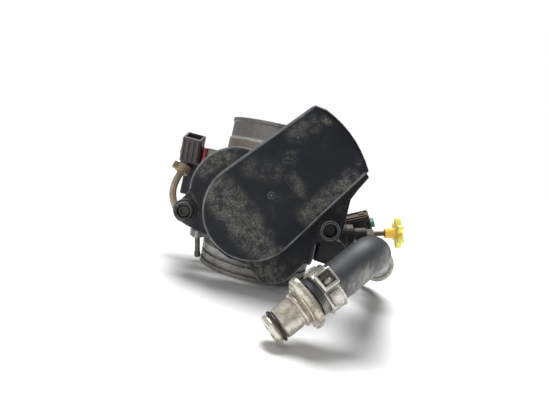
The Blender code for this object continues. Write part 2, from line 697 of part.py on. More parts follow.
def make_position_sensor(finish, steel, rotor_finish, axis):
    sensor = rod("position_sensor", 11.5, REAR_BOSS_Y + GAP, 40.5, 32, 0.9, finish)
    place(sensor, (0, 0, SHAFT_Z), (0, 1, 0))
    reach = SENSOR_LUGS[1][0]
    outline = arc((-reach, 0), 4.3, 90, 270, 8) + arc((reach, 0), 4.3, -90, 90, 8)
    plate = prism("lug_plate", outline, REAR_BOSS_Y + GAP, 34.4)
    add(sensor, place(plate, (0, 0, SHAFT_Z), (0, 1, 0)))
    shroud = hollow_socket("shroud", (11.0, 9.0, 17.0), 1.2, 9.0)
    add(sensor, place(shroud, (-3.0, 35.9, SHAFT_Z - 20.5), (0, 0, -1), (1, 0, 0)))
    room = rod("rotor_room", 4.5, 20, 38.4, 20)
    cut(sensor, place(room, (0, 0, SHAFT_Z), (0, 1, 0)))
    names = ("position_screw_left", "position_screw_right")
    for name, (x, z) in zip(names, SENSOR_LUGS):
        hole = rod("lug_hole", 1.7, 20, 50, 10)
        cut(sensor, place(hole, (x, 0, z), (0, 1, 0)))
        cap_screw(name, 2.6, 2.6, 1.4, 12.6, steel, (x, 34.7, z), (0, -1, 0))
    rotor = washer("sensor_rotor", 2.9, 4.1, 31.6, 37.6, 20, rotor_finish, axis)
    place(rotor, (0, 0, 0), (0, 1, 0))


# ---------------------------------------------------------------- injector and fuel pipe

def make_fuel_injector(finish, teal, rubber):
    profile = [
        (0, -29.0), (3.0, -29.0), (3.2, -28.6), (3.2, -14.0), (4.4, -14.0), (4.4, -10.6), (6.4, -10.6),
        (6.4, -8.2), (6.0, -7.8), (6.0, 7.6), (5.2, 8.4), (5.2, 11.6), (3.6, 11.6), (3.6, 18.6),
        (3.2, 19.0), (0, 19.0),
    ]
    injector = lathe("fuel_injector", profile, 24, finish=finish)
    place(injector, INJECTOR_AT, INJECTOR_AXIS)
    mouth = along_injector(CONNECTOR_FOOT) + CONNECTOR_AXIS * CONNECTOR_REACH
    shroud = hollow_socket("shroud", (8.8, 10.0, 18.4), 1.15, 9.0)
    add(injector, place(shroud, mouth, CONNECTOR_AXIS, INJECTOR_AXIS))
    lip = box("connector_seal", (3.2, 6.4, 4.0), (1.2, 0, -0.1), 0.3, teal)
    opening = box("lip_room", (1.6, 4.6, 8.0), (1.2, 0, 0))
    cut(lip, opening)
    place(lip, mouth, CONNECTOR_AXIS, INJECTOR_AXIS)
    lower = torus("injector_oring_lower", 4.2, 0.65, 20, 6, rubber)
    place(lower, along_injector(-17.5), INJECTOR_AXIS)
    upper = torus("injector_oring_upper", 4.5, 0.6, 20, 6, rubber)
    place(upper, along_injector(15.6), INJECTOR_AXIS)


def make_fuel_pipe(finish, steel):
    profile = [
        (0, 24.6), (6.8, 24.6), (8.0, 23.4), (8.0, 12.0), (5.4, 12.0), (5.4, 20.4), (0, 20.4),
    ]
    pipe = lathe("fuel_pipe", profile, 24, finish=finish)
    place(pipe, INJECTOR_AT, INJECTOR_AXIS)
    start = along_injector(22.4)
    end = Vector(HOSE_ROUTE[0])
    back = (end - Vector(HOSE_ROUTE[1])).normalized()
    tip = end + back * GAP
    route = [
        start, (50.5, 18.6, 9.4), (57.5, 15.6, 10.8), (61.4, 8.6, 12.6), tip + back * 9, tip,
    ]
    elbow = mesh_from_curve(tube("elbow", smooth_route(route, 3), 4.2, finish, 3))
    add(pipe, elbow)
    out = polar(1, PIPE_LUG_TURN, 0)
    lug_at = out * 31.0 + Vector((0, 0, PIPE_LUG_Z))
    lug = rod("lug", 4.2, 0, 2.6, 18, 0.3)
    add(pipe, place(lug, lug_at, out))
    web_end = along_injector(17.5)
    run = web_end - (lug_at + out * 1.4)
    web = box("web", (2.4, 6.2, run.length - 5.0))
    centre = lug_at + out * 1.4 + run * 0.5 - run.normalized() * 0.6
    add(pipe, place(web, centre, run, out))
    hole = rod("lug_hole", 1.9, -6, 8, 10)
    cut(pipe, place(hole, lug_at, out))
    room = rod("injector_room", 5.4, 8, 20.4, 24)
    cut(pipe, place(room, INJECTOR_AT, INJECTOR_AXIS))
    screw_at = lug_at + out * (2.6 + GAP)
    hex_screw("pipe_screw", 5.5, 2.4, 1.5, 8.4, steel, screw_at, -out)


def make_bypass_cover(plastic):
    """A small block on the casting's flat pad, right of the cover's skirt."""
    outline = [(BYPASS_X, 15.8), (34.6, 15.0), (39.3, 18.8), (38.8, 24.8), (35.8, 26.8), (BYPASS_X, 26.8)]
    block = wall_prism("bypass_cover", outline, -27.0, -13.4, 1.0)
    block.data.materials.append(plastic)


# ---------------------------------------------------------------- cold start and idle knob

def make_starter(plastic, zinc, rod_finish, yellow, steel, slide):
    housing = lathe("starter_housing", [
        (4.9, 7.9), (7.2, 7.9), (7.2, 11.4), (6.0, 11.8), (6.0, 16.4), (5.2, 17.2), (5.2, 20.4),
        (3.2, 21.6), (3.2, 26.8), (1.65, 26.8), (1.65, 15.2), (4.9, 15.2),
    ], 24, True, plastic)
    place(housing, STARTER_FOOT, STARTER_AXIS)
    nut = prism("starter_nut", hexagon(4.6), 27.1, 30.6, 0.3, zinc)
    cut(nut, rod("nut_hole", 1.65, 20, 34, 12))
    place(nut, STARTER_FOOT, STARTER_AXIS)
    lathe("starter_rod", [
        (0, 1.0), (4.3, 1.0), (4.6, 1.4), (4.6, 5.6), (4.2, 6.0), (1.3, 6.0), (1.3, 40.4), (0, 40.4),
    ], 16, finish=rod_finish, parent=slide)
    spring = coil("starter_spring", 3.1, 0.28, 13.6, 14.7, 1.6, steel)
    place(spring, STARTER_FOOT, STARTER_AXIS)
    make_knob(yellow, slide)


def make_knob(yellow, slide):
    """Six rounded lobes on a hub."""
    outline = []
    steps = 60
    for i in range(steps):
        angle = 360 * i / steps
        lobe = 0.5 + 0.5 * cos(radians(6 * (angle - 90)))
        radius = 4.1 + 3.7 * lobe**0.8
        outline.append((radius * cos(radians(angle)), radius * sin(radians(angle))))
    knob = prism("starter_knob", outline, 41.2, 44.4, 0.6, yellow, slide)
    hub = rod("hub", 2.45, 36.2, 42.0, 18, 0.3)
    hub.parent = slide
    add(knob, hub)
    hole = rod("knob_hole", 1.65, 30, 40.9, 12)
    hole.parent = slide
    cut(knob, hole)
    dish = rod("dish", 3.2, 43.4, 50, 18)
    dish.parent = slide
    cut(knob, dish)


# ---------------------------------------------------------------- hose, clamps and fuel joint

def make_fuel_hose(rubber):
    tube("fuel_hose", HOSE_PATH, HOSE_R, rubber, 4)


def make_clamp(name, distance, from_front, ear_towards, half_width, steel):
    """A band around the hose with a raised, windowed ear."""
    centre, direction = hose_at(distance, from_front)
    inner = HOSE_R + 0.35
    outer = inner + 0.75
    band = washer(name, inner, outer, -half_width, half_width, 28, steel)
    ear = box("ear", (4.0, 5.6, 4.6), (outer + 1.2, 0, 0), 0.5)
    add(band, ear)
    window = box("window", (3.0, 4.2, 2.6), (outer + 2.6, 0, 0))
    cut(band, window)
    tunnel = box("tunnel", (2.0, 3.6, 8.0), (outer + 1.2, 0, 0))
    cut(band, tunnel)
    place(band, centre, direction, ear_towards)


def make_fuel_joint(metal, rubber):
    nose = [
        (0, GAP), (5.6, GAP), (5.6, 1.0), (6.8, 1.0), (7.4, 1.6), (7.4, 3.8), (6.8, 4.4), (5.7, 4.6),
        (5.7, 6.0), (4.9, 6.4), (4.9, 12.9), (4.1, 12.9), (4.1, 14.7), (4.9, 14.7), (4.9, 16.0),
        (4.4, 16.5), (2.4, 16.5), (2.4, 13.5), (0, 13.5),
    ]
    joint = lathe("fuel_joint", nose, 24, finish=metal)
    plate_points = arc((6.3, 0), 3.1, -62, 62, 8) + arc((0, 0), 7.6, 50, 130, 8)
    plate_points += arc((-6.3, 0), 3.1, 118, 242, 8) + arc((0, 0), 7.6, 230, 310, 8)
    plate = prism("plate", plate_points, 1.3, 4.1, 0.6)
    add(joint, plate)
    for side in (-1, 1):
        hole = rod("bolt_hole", 1.1, -2, 12, 14)
        cut(joint, place(hole, (side * 7.6, 0, 0)))
    place(joint, JOINT_AT, JOINT_AXIS, FLANGE_LONG)
    ring = torus("joint_oring", 4.75, 0.4, 24, 6, rubber)
    place(ring, along_joint(13.8), JOINT_AXIS)


# ---------------------------------------------------------------- assembly

def pivot(name, at, along=(0, 0, 1)):
    empty = bpy.data.objects.new(name, None)
    bpy.context.scene.collection.objects.link(empty)
    return place(empty, at, along)


def build():
    clear_scene()
    aluminium = material("cast_aluminium", (0.42, 0.40, 0.38), 0.5, 1.0)
    steel = material("steel", (0.55, 0.54, 0.52), 0.35, 1.0)
    brass = material("brass", (0.30, 0.25, 0.14), 0.4, 1.0)
    bronze = material("bronze", (0.45, 0.30, 0.15), 0.5, 1.0)
    dark_steel = material("dark_steel", (0.10, 0.10, 0.10), 0.4, 1.0)
    black = material("black_plastic", (0.022, 0.025, 0.032), 0.5)
    sensor_black = material("sensor_plastic", (0.06, 0.05, 0.06), 0.5)
    rubber = material("black_rubber", (0.03, 0.031, 0.034), 0.55)
    red = material("red_rubber", (0.55, 0.06, 0.08), 0.5)
    teal = material("teal_rubber", (0.10, 0.28, 0.26), 0.5)
    tan = material("tan_rubber", (0.35, 0.27, 0.19), 0.7)
    tan_metal = material("tan_clip", (0.30, 0.24, 0.17), 0.5, 0.4)
    yellow = material("yellow_plastic", (0.80, 0.47, 0.04), 0.4)
    olive = material("olive_rod", (0.12, 0.10, 0.05), 0.5, 0.4)
    zinc = material("zinc", (0.62, 0.60, 0.56), 0.4, 1.0)

    make_throttle_body(aluminium)
    shaft_axis = pivot("throttle_axis", (0, 0, SHAFT_Z))
    make_throttle_shaft(shaft_axis, steel)
    make_throttle_plate(shaft_axis, brass)
    make_plate_screws(shaft_axis, steel)
    make_pulley(shaft_axis, zinc)
    make_pulley_fastening(shaft_axis, steel)
    make_shaft_bearings(bronze, rubber)
    make_return_spring(steel)
    make_pulley_cover(black)
    make_cover_screws(dark_steel)
    make_cable_bracket(zinc)
    make_pressure_sensor(sensor_black)
    make_pressure_details(steel, red, tan, brass, tan_metal)
    make_position_sensor(black, steel, sensor_black, shaft_axis)
    make_fuel_injector(sensor_black, teal, rubber)
    make_fuel_pipe(black, steel)
    make_bypass_cover(black)
    slide = pivot("starter_axis", STARTER_FOOT, STARTER_AXIS)
    make_starter(black, zinc, olive, yellow, steel, slide)
    make_fuel_hose(rubber)
    make_clamp("hose_clamp_rear", CLAMP_REAR_FROM_END, False, (-0.7, 0, 0.7), 3.6, steel)
    make_clamp("hose_clamp_front", CLAMP_FRONT_FROM_END, True, (-0.25, -0.85, 0.45), 2.8, steel)
    make_fuel_joint(zinc, rubber)


build()
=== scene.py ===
"""Looks for the throttle body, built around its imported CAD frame.

Lengths are millimetres in the frame's own axes, and MM turns them into metres. The bore runs
along +Z, the pulley cover faces -Y, and the injector and the yellow knob are on the +X side.
"""

from math import cos, pi, radians, sin

import bmesh
import bpy
from mathutils import Matrix, Vector


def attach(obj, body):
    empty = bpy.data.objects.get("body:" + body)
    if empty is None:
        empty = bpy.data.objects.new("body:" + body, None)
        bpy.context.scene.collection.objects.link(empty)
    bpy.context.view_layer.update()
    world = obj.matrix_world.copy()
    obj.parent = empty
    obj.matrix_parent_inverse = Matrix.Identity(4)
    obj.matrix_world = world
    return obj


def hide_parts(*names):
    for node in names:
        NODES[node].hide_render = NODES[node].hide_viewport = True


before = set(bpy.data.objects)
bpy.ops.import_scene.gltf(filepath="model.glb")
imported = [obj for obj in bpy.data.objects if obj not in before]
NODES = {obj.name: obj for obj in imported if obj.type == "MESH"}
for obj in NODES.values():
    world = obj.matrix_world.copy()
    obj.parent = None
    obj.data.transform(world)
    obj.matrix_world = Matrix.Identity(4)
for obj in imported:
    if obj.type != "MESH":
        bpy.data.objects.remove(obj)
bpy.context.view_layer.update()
MM = 0.001

# Camera: it looks along +Y, pitched down and rolled by these degrees; a negative roll lifts its right side
CAMERA_AT = (4.6, -209.3, 52.7)
CAMERA_PITCH = 5.4
CAMERA_ROLL = -12.7
SENSOR_WIDTH = 36.0
LENS = 27.491

# Light: a sun's angle is its width in degrees, and towards is the way its light travels
KEY_SUN = {"energy": 4.0, "angle": 36.0, "towards": (0.12, -0.26, -0.96)}
FRONT_SUN = {"energy": 0.95, "angle": 60.0, "towards": (0.45, 0.86, -0.25), "colour": (1.0, 0.98, 0.95)}
FILL_COLOUR = (0.96, 0.98, 1.0, 1)
FILL_STRENGTH = 0.24
FLOOR_HALF_M = 4.0
FLOOR_COLOUR = (0.93, 0.93, 0.93, 1.0)

# Edges sharper than this many degrees are shaded as corners
SHARP_ANGLE = 38.0

# Fuel hose: its route is the same as the CAD node's
HOSE_R = 6.25
HOSE_STEPS = 4
HOSE_ROUTE = [
    (58.1, -11.6, 17.4),
    (55.5, -19.6, 19.2),
    (50.4, -34.5, 23.2),
    (45.7, -50.2, 27.3),
    (41.3, -64.7, 30.4),
    (36.8, -74.5, 30.1),
    (31.0, -78.5, 24.3),
    (22.13, -82.76, 15.4),
]


# ---------------------------------------------------------------- materials

class Paint:
    """One material, and short calls for wiring its nodes. Patterns use object coordinates."""

    def __init__(self, name):
        self.material = bpy.data.materials.new(name)
        self.material.use_nodes = True
        self.tree = self.material.node_tree
        self.shader = self.tree.nodes["Principled BSDF"]
        self.position = self.add("ShaderNodeTexCoord").outputs["Object"]

    def add(self, kind, inputs=None, **settings):
        """A new node, with its inputs wired or set and its own settings made."""
        made = self.tree.nodes.new(kind)
        for key, value in settings.items():
            setattr(made, key, value)
        for key, value in (inputs or {}).items():
            self.feed(made.inputs[key], value)
        return made

    def feed(self, socket, value):
        """Wires another node's output into a socket, or sets the socket's own value."""
        if isinstance(value, bpy.types.NodeSocket):
            self.tree.links.new(value, socket)
        else:
            socket.default_value = value

    def math(self, operation, a, b):
        """An operation on two values, with its result held between 0 and 1."""
        return self.add("ShaderNodeMath", {0: a, 1: b}, operation=operation, use_clamp=True).outputs[0]

    def times(self, a, b):
        return self.math("MULTIPLY", a, b)

    def larger(self, a, b):
        return self.math("MAXIMUM", a, b)

    def vector_math(self, operation, a, b):
        """An operation on two vectors, which gives a vector or, for some, a number."""
        made = self.add("ShaderNodeVectorMath", {0: a, 1: b}, operation=operation)
        return made.outputs["Value" if operation in ("DISTANCE", "DOT_PRODUCT") else "Vector"]

    def noise(self, size_mm, detail, roughness, seed, stretch=(1, 1, 1)):
        """Noise from 0 to 1 whose blotches are about this wide, or narrower where stretch is over 1."""
        scale = 1.0 / (size_mm * MM)
        moved = self.add("ShaderNodeMapping", {"Vector": self.position, "Scale": stretch})
        moved.inputs["Location"].default_value = (seed, seed * 0.7, -seed)
        inputs = {"Vector": moved.outputs[0], "Scale": scale, "Detail": detail, "Roughness": roughness}
        return self.add("ShaderNodeTexNoise", inputs).outputs[0]

    def step(self, value, low, high, bottom=0.0, top=1.0):
        """A smooth step from bottom to top as value goes from low to high."""
        inputs = {"Value": value, "From Min": low, "From Max": high, "To Min": bottom, "To Max": top}
        made = self.add("ShaderNodeMapRange", inputs, interpolation_type="SMOOTHSTEP")
        return made.outputs[0]

    def blend(self, factor, first, second):
        """The first colour where factor is 0, the second where it is 1."""
        made = self.add("ShaderNodeMix", data_type="RGBA", clamp_factor=True)
        self.feed(made.inputs[0], factor)
        for socket, colour in ((made.inputs[6], first), (made.inputs[7], second)):
            self.feed(socket, colour if isinstance(colour, bpy.types.NodeSocket) else (*colour, 1.0))
        return made.outputs[2]

    def spot(self, centre, inner, outer):
        """1 within inner mm of a point, falling to 0 at outer mm."""
        away = self.vector_math("DISTANCE", self.position, Vector(centre) * MM)
        return self.step(away, inner * MM, outer * MM, 1.0, 0.0)

    def band(self, start, end, inner, outer):
        """1 within inner mm of the line between two points, falling to 0 at outer mm."""
        first, run = Vector(start) * MM, (Vector(end) - Vector(start)) * MM
        offset = self.vector_math("SUBTRACT", self.position, first)
        along = self.vector_math("DOT_PRODUCT", offset, run / run.length_squared)
        # Adding 0 holds the share between 0 and 1, so the nearest point stays between the two ends.
        share = self.math("ADD", along, 0.0)
        nearest = self.add("ShaderNodeVectorMath", {0: run, "Scale": share}, operation="SCALE").outputs[0]
        away = self.vector_math("DISTANCE", offset, nearest)
        return self.step(away, inner * MM, outer * MM, 1.0, 0.0)

    def height(self, low, high):
        """0 below one height and 1 above another, in mm."""
        z = self.add("ShaderNodeSeparateXYZ", {0: self.position}).outputs["Z"]
        return self.step(z, low * MM, high * MM)

    def facing(self, axis, low, high):
        """1 where the surface faces along an axis and 0 where it doesn't, between two cosines."""
        normal = self.add("ShaderNodeNewGeometry").outputs["Normal"]
        return self.step(self.vector_math("DOT_PRODUCT", normal, Vector(axis)), low, high)

    def edges(self, width_mm):
        """1 along outer edges, from the difference between the true normal and a rounded one."""
        normal = self.add("ShaderNodeNewGeometry").outputs["Normal"]
        rounded = self.add("ShaderNodeBevel", {"Radius": width_mm * MM}, samples=4).outputs[0]
        bent = self.math("SUBTRACT", 1.0, self.vector_math("DOT_PRODUCT", normal, rounded))
        return self.step(bent, 0.0, 0.25)

    def crevices(self, distance_mm):
        """1 in corners narrower than this, 0 on open faces."""
        inputs = {"Distance": distance_mm * MM}
        made = self.add("ShaderNodeAmbientOcclusion", inputs, samples=4)
        return self.step(made.outputs["AO"], 0.35, 0.95, 1.0, 0.0)

    def bump(self, height, depth_mm, strength, below=None):
        """A normal shaped by a height, over another normal if one is given."""
        inputs = {"Height": height, "Distance": depth_mm * MM, "Strength": strength}
        if below:
            inputs["Normal"] = below
        return self.add("ShaderNodeBump", inputs).outputs[0]

    def finish(self, colour, roughness, metallic=0.0, normal=None, gloss=0.5):
        """Wires the shader and gives the material."""
        self.feed(self.shader.inputs["Base Color"], colour)
        self.feed(self.shader.inputs["Roughness"], roughness)
        self.feed(self.shader.inputs["Metallic"], metallic)
        self.shader.inputs["Specular IOR Level"].default_value = gloss
        if normal:
            self.feed(self.shader.inputs["Normal"], normal)
        return self.material


DUST = (0.150, 0.132, 0.098)
PALE_DUST = (0.36, 0.33, 0.27)
HAZE = (0.047, 0.052, 0.056)
RUBBED_PLASTIC = (0.14, 0.15, 0.165)
LIT_RIM = (0.20, 0.215, 0.235)


def moulded_plastic(name, base, second, dust, rough, gloss, seed, patches=(), settled=0.0, rim=None,
                    dust_colour=DUST):
    """Dusty moulded plastic with fine grain, scuffs, worn edges and dirt where it collects.

    A patch is (start, end, inner, outer, amount): dust along a line, in mm. Settled is dust on upward
    faces. Faces that look along rim get a painted highlight in LIT_RIM.
    """
    paint = Paint(name)
    cloud = paint.noise(9.0, 6.0, 0.62, seed)
    speckle = paint.noise(1.3, 4.0, 0.7, seed + 3.1)
    grit = paint.noise(0.5, 3.0, 0.7, seed + 6.3)
    patchy = paint.noise(4.2, 5.0, 0.6, seed + 9.7)
    colour = paint.blend(paint.step(cloud, 0.35, 0.7), base, second)
    scratches = paint.noise(1.1, 2.0, 0.5, seed + 8.0, (0.12, 1.0, 1.9))
    scuffed = paint.times(paint.step(scratches, 0.66, 0.72), paint.step(cloud, 0.5, 0.7))
    colour = paint.blend(paint.times(scuffed, 0.3), colour, PALE_DUST)
    overlay_share = paint.times(paint.step(cloud, 0.55, 0.78), paint.step(speckle, 0.4, 0.65))
    overlay_share = paint.times(overlay_share, dust)
    if patches:
        flecks = paint.noise(0.8, 6.0, 0.78, seed + 12.3)
        broken = paint.times(
            paint.step(flecks, 0.44, 0.60, 0.04, 1.0), paint.step(patchy, 0.40, 0.58, 0.10, 1.0))
        near = 0.0
        for start, end, inner, outer, amount in patches:
            patch = paint.times(paint.band(start, end, inner, outer), amount)
            near = paint.larger(near, patch)
        film = paint.times(near, paint.step(patchy, 0.34, 0.58, 0.18, 1.0))
        colour = paint.blend(film, colour, HAZE)
        overlay_share = paint.larger(overlay_share, paint.times(near, broken))
    if settled:
        upward = paint.facing((0, 0, 1), 0.3, 0.85)
        fallen = paint.times(upward, paint.step(speckle, 0.25, 0.6, 0.5, 1.0))
        overlay_share = paint.larger(overlay_share, paint.times(fallen, settled))
    corner = paint.times(paint.crevices(2.4), paint.step(speckle, 0.35, 0.6, 0.15, 0.8))
    overlay_share = paint.larger(overlay_share, paint.times(corner, dust))
    colour = paint.blend(overlay_share, colour, dust_colour)
    worn = paint.times(paint.edges(0.45), paint.step(speckle, 0.3, 0.6, 0.35, 0.9))
    colour = paint.blend(paint.times(worn, 0.5), colour, RUBBED_PLASTIC)
    # Painted highlight: faces that look along rim are lightened towards LIT_RIM
    if rim:
        lit = paint.times(paint.facing(rim, 0.80, 0.93), paint.step(speckle, 0.2, 0.6, 0.55, 1.0))
        colour = paint.blend(paint.times(lit, 0.75), colour, LIT_RIM)
    specks = paint.times(paint.step(grit, 0.74, 0.80), paint.step(cloud, 0.4, 0.6))
    colour = paint.blend(paint.times(specks, 0.5), colour, PALE_DUST)
    roughness = paint.step(paint.math("ADD", paint.times(speckle, 0.6), overlay_share), 0.2, 0.9, *rough)
    grain = paint.noise(0.35, 3.0, 0.6, seed + 5.0)
    normal = paint.bump(grain, 0.03, 0.5, paint.bump(overlay_share, 0.12, 0.6))
    return paint.finish(colour, roughness, 0.0, normal, gloss)


def cast_metal(name, base, second, stain_and_shade, stain_and_shade_share, rough, metallic, seed, streak=None, tones=()):
    """Cast or plated metal with mottling, bright worn edges, and its stain colour in its corners: real
    stain, and painted shade in deep corners.

    Streak is (stretch, colour, amount). A tone is (low, high, colour): the metal's colour above those
    heights, in mm.
    """
    paint = Paint(name)
    cloud = paint.noise(6.0, 6.0, 0.65, seed)
    fine = paint.noise(0.9, 4.0, 0.65, seed + 2.0)
    colour = paint.blend(paint.step(cloud, 0.35, 0.68), base, second)
    for low, high, tone in tones:
        colour = paint.blend(paint.height(low, high), colour, tone)
    if streak:
        stretch, tint, amount = streak
        drawn = paint.step(paint.noise(2.2, 4.0, 0.65, seed + 11.0, stretch), 0.46, 0.66, 0.0, amount)
        colour = paint.blend(drawn, colour, tint)
    colour = paint.blend(paint.step(fine, 0.52, 0.75, 0.0, 0.35), colour, stain_and_shade)
    # Corners take the stain colour: real stain, and painted shade where a corner is deep
    corner = paint.times(paint.crevices(2.5), paint.step(fine, 0.3, 0.6, 0.4, 1.0))
    blotch = paint.times(paint.step(cloud, 0.55, 0.72), paint.step(fine, 0.4, 0.6))
    overlay_share = paint.times(paint.larger(corner, blotch), stain_and_shade_share)
    colour = paint.blend(overlay_share, colour, stain_and_shade)
    worn = paint.times(paint.edges(0.35), 0.45)
    bright = tuple(min(1.0, 1.35 * c + 0.05) for c in base)
    colour = paint.blend(worn, colour, bright)
    roughness = paint.step(paint.math("ADD", fine, overlay_share), 0.3, 1.1, *rough)
    dull = paint.step(overlay_share, 0.0, 1.0, metallic, metallic * 0.3)
    grain = paint.noise(0.5, 3.0, 0.6, seed + 5.0)
    return paint.finish(colour, roughness, dull, paint.bump(grain, 0.05, 0.4))


def soft_rubber(name, base, second, rough, seed, dust=0.25):
    """Smooth rubber with a faint bloom and a little dust."""
    paint = Paint(name)
    cloud = paint.noise(7.0, 5.0, 0.6, seed)
    fine = paint.noise(0.6, 4.0, 0.6, seed + 1.0)
    colour = paint.blend(paint.step(cloud, 0.35, 0.7), base, second)
    overlay_share = paint.times(paint.step(fine, 0.5, 0.75), paint.step(cloud, 0.45, 0.7, 0.2, 1.0))
    overlay_share = paint.times(overlay_share, dust)
    colour = paint.blend(overlay_share, colour, DUST)
    roughness = paint.step(paint.math("ADD", fine, overlay_share), 0.3, 1.0, *rough)
    return paint.finish(colour, roughness, 0.0, paint.bump(fine, 0.02, 0.35), 0.4)


def knob_plastic():
    """Translucent-looking yellow plastic: orange along the hub, lime towards the lobes' tips, darker brown
    in its crevices, and a faint painted glow.
    """
    paint = Paint("knob_plastic")
    cloud = paint.noise(3.0, 4.0, 0.6, 14.0)
    core = paint.band((57.0, -2.0, 31.1), (66.4, -2.0, 33.6), 3.0, 6.6)
    colour = paint.blend(core, (0.91, 0.97, 0.24), (0.93, 0.55, 0.08))
    colour = paint.blend(paint.step(cloud, 0.4, 0.7, 0.0, 0.35), colour, (0.84, 0.44, 0.04))
    # Darker brown in the crevices
    overlay_share = paint.times(paint.crevices(1.6), 0.45)
    colour = paint.blend(overlay_share, colour, (0.34, 0.20, 0.05))
    fine = paint.noise(0.6, 3.0, 0.6, 15.0)
    made = paint.finish(colour, paint.step(fine, 0.3, 0.8, 0.3, 0.5), 0.0, paint.bump(fine, 0.02, 0.3), 0.45)
    # Painted glow: a faint yellow emission, though the knob is no lamp
    paint.shader.inputs["Emission Color"].default_value = (0.9, 0.75, 0.1, 1.0)
    paint.shader.inputs["Emission Strength"].default_value = 0.10
    return made


def hose_sleeve():
    """Satin rubber with a painted sheen on its bend, and a whitish bloom in long streaks on its outer,
    downward side that also paints the floor's reflection there.
    """
    paint = Paint("hose_rubber")
    cloud = paint.noise(11.0, 5.0, 0.55, 19.0)
    streak = paint.noise(6.0, 4.0, 0.6, 21.0, (2.2, 0.35, 0.8))
    fine = paint.noise(0.6, 4.0, 0.6, 20.0)
    colour = paint.blend(paint.step(cloud, 0.35, 0.7), (0.021, 0.024, 0.029), (0.036, 0.040, 0.047))
    # Painted sheen: the bend is lighter, in streaks
    bend_sheen = paint.times(paint.spot((51.0, -45.0, 30.0), 6.0, 17.0), paint.step(streak, 0.3, 0.6, 0.4, 0.9))
    colour = paint.blend(bend_sheen, colour, (0.090, 0.094, 0.096))
    # Bloom and painted reflection: faces turned outward and down towards the floor are whitened in streaks,
    # most in a band on the underside near the rear
    outer = paint.facing((0.75, -0.25, -0.62), -0.05, 0.7)
    bloom_and_reflection = paint.times(outer, paint.step(streak, 0.42, 0.62, 0.30, 1.0))
    pale_band = paint.band((53.5, -30.0, 19.0), (42.5, -63.0, 24.0), 4.0, 9.5)
    bloom_and_reflection = paint.times(bloom_and_reflection, paint.step(pale_band, 0.0, 1.0, 0.65, 1.0))
    colour = paint.blend(paint.times(bloom_and_reflection, 0.95), colour, (0.50, 0.50, 0.46))
    roughness = paint.step(paint.math("ADD", paint.times(fine, 0.4), bloom_and_reflection), 0.1, 1.0, 0.54, 0.68)
    return paint.finish(colour, roughness, 0.0, paint.bump(fine, 0.02, 0.3), 0.6)


# ---------------------------------------------------------------- stage, camera and lights

def make_camera():
    pitch, roll = radians(CAMERA_PITCH), radians(CAMERA_ROLL)
    forward = Vector((0, cos(pitch), -sin(pitch)))
    level_up = Vector((0, sin(pitch), cos(pitch)))
    level_right = Vector((1, 0, 0))
    right = level_right * cos(roll) - level_up * sin(roll)
    up = level_up * cos(roll) + level_right * sin(roll)
    data = bpy.data.cameras.new("camera")
    data.sensor_width = SENSOR_WIDTH
    data.lens = LENS
    data.clip_start = 0.01
    camera = bpy.data.objects.new("camera", data)
    turn = Matrix((right, up, -forward)).transposed().to_4x4()
    camera.matrix_world = Matrix.Translation(Vector(CAMERA_AT) * MM) @ turn
    bpy.context.scene.collection.objects.link(camera)
    bpy.context.scene.camera = camera


def make_floor():
    bm = bmesh.new()
    bmesh.ops.create_grid(bm, x_segments=1, y_segments=1, size=FLOOR_HALF_M)
    mesh = bpy.data.meshes.new("floor")
    bm.to_mesh(mesh)
    bm.free()
    floor = bpy.data.objects.new("floor", mesh)
    bpy.context.scene.collection.objects.link(floor)
    paint = Paint("floor_paper")
    paint.finish(FLOOR_COLOUR, roughness=0.9, gloss=0.1)
    mesh.materials.append(paint.material)


def make_sun(name, energy, angle, towards, colour=(1, 1, 1)):
    data = bpy.data.lights.new(name, "SUN")
    data.energy = energy
    data.angle = radians(angle)
    data.color = colour
    light = bpy.data.objects.new(name, data)
    light.rotation_mode = "QUATERNION"
    light.rotation_quaternion = Vector(towards).to_track_quat("-Z", "Y")
    bpy.context.scene.collection.objects.link(light)


def make_world():
    """A white backdrop for the camera, and a dimmer white fill for everything else."""
    world = bpy.data.worlds.new("studio")
    bpy.context.scene.world = world
    world.use_nodes = True
    tree = world.node_tree
    back = tree.nodes["Background"]
    seen = tree.nodes.new("ShaderNodeBackground")
    seen.inputs["Strength"].default_value = 1.0
    seen.inputs["Color"].default_value = (1, 1, 1, 1)
    back.inputs["Color"].default_value = FILL_COLOUR
    back.inputs["Strength"].default_value = FILL_STRENGTH
    path = tree.nodes.new("ShaderNodeLightPath")
    choice = tree.nodes.new("ShaderNodeMixShader")
    tree.links.new(path.outputs["Is Camera Ray"], choice.inputs[0])
    tree.links.new(back.outputs[0], choice.inputs[1])
    tree.links.new(seen.outputs[0], choice.inputs[2])
    tree.links.new(choice.outputs[0], tree.nodes["World Output"].inputs["Surface"])


def make_stage():
    make_camera()
    make_floor()
    make_world()
    make_sun("key", **KEY_SUN)
    make_sun("front", **FRONT_SUN)
    bpy.context.scene.view_settings.view_transform = "Standard"


# ---------------------------------------------------------------- helpers

def link(name, data):
    obj = bpy.data.objects.new(name, data)
    bpy.context.scene.collection.objects.link(obj)
    return obj


def smooth_route(points, per_span):
    """Points on a Catmull-Rom curve through the given ones."""
    known = [Vector(p) for p in points]
    known = [2 * known[0] - known[1]] + known + [2 * known[-1] - known[-2]]
    route = []
    for before, start, end, after in zip(known, known[1:], known[2:], known[3:]):
        for i in range(per_span):
            t = i / per_span
            square = (2 * before - 5 * start + 4 * end - after) * t**2
            cube = (3 * start - before - 3 * end + after) * t**3
            route.append((2 * start + (end - before) * t + square + cube) / 2)
    route.append(known[-2])
    return route


def coat(node, material):
    """Gives a CAD node its material."""
    NODES[node].data.materials.clear()
    NODES[node].data.materials.append(material)


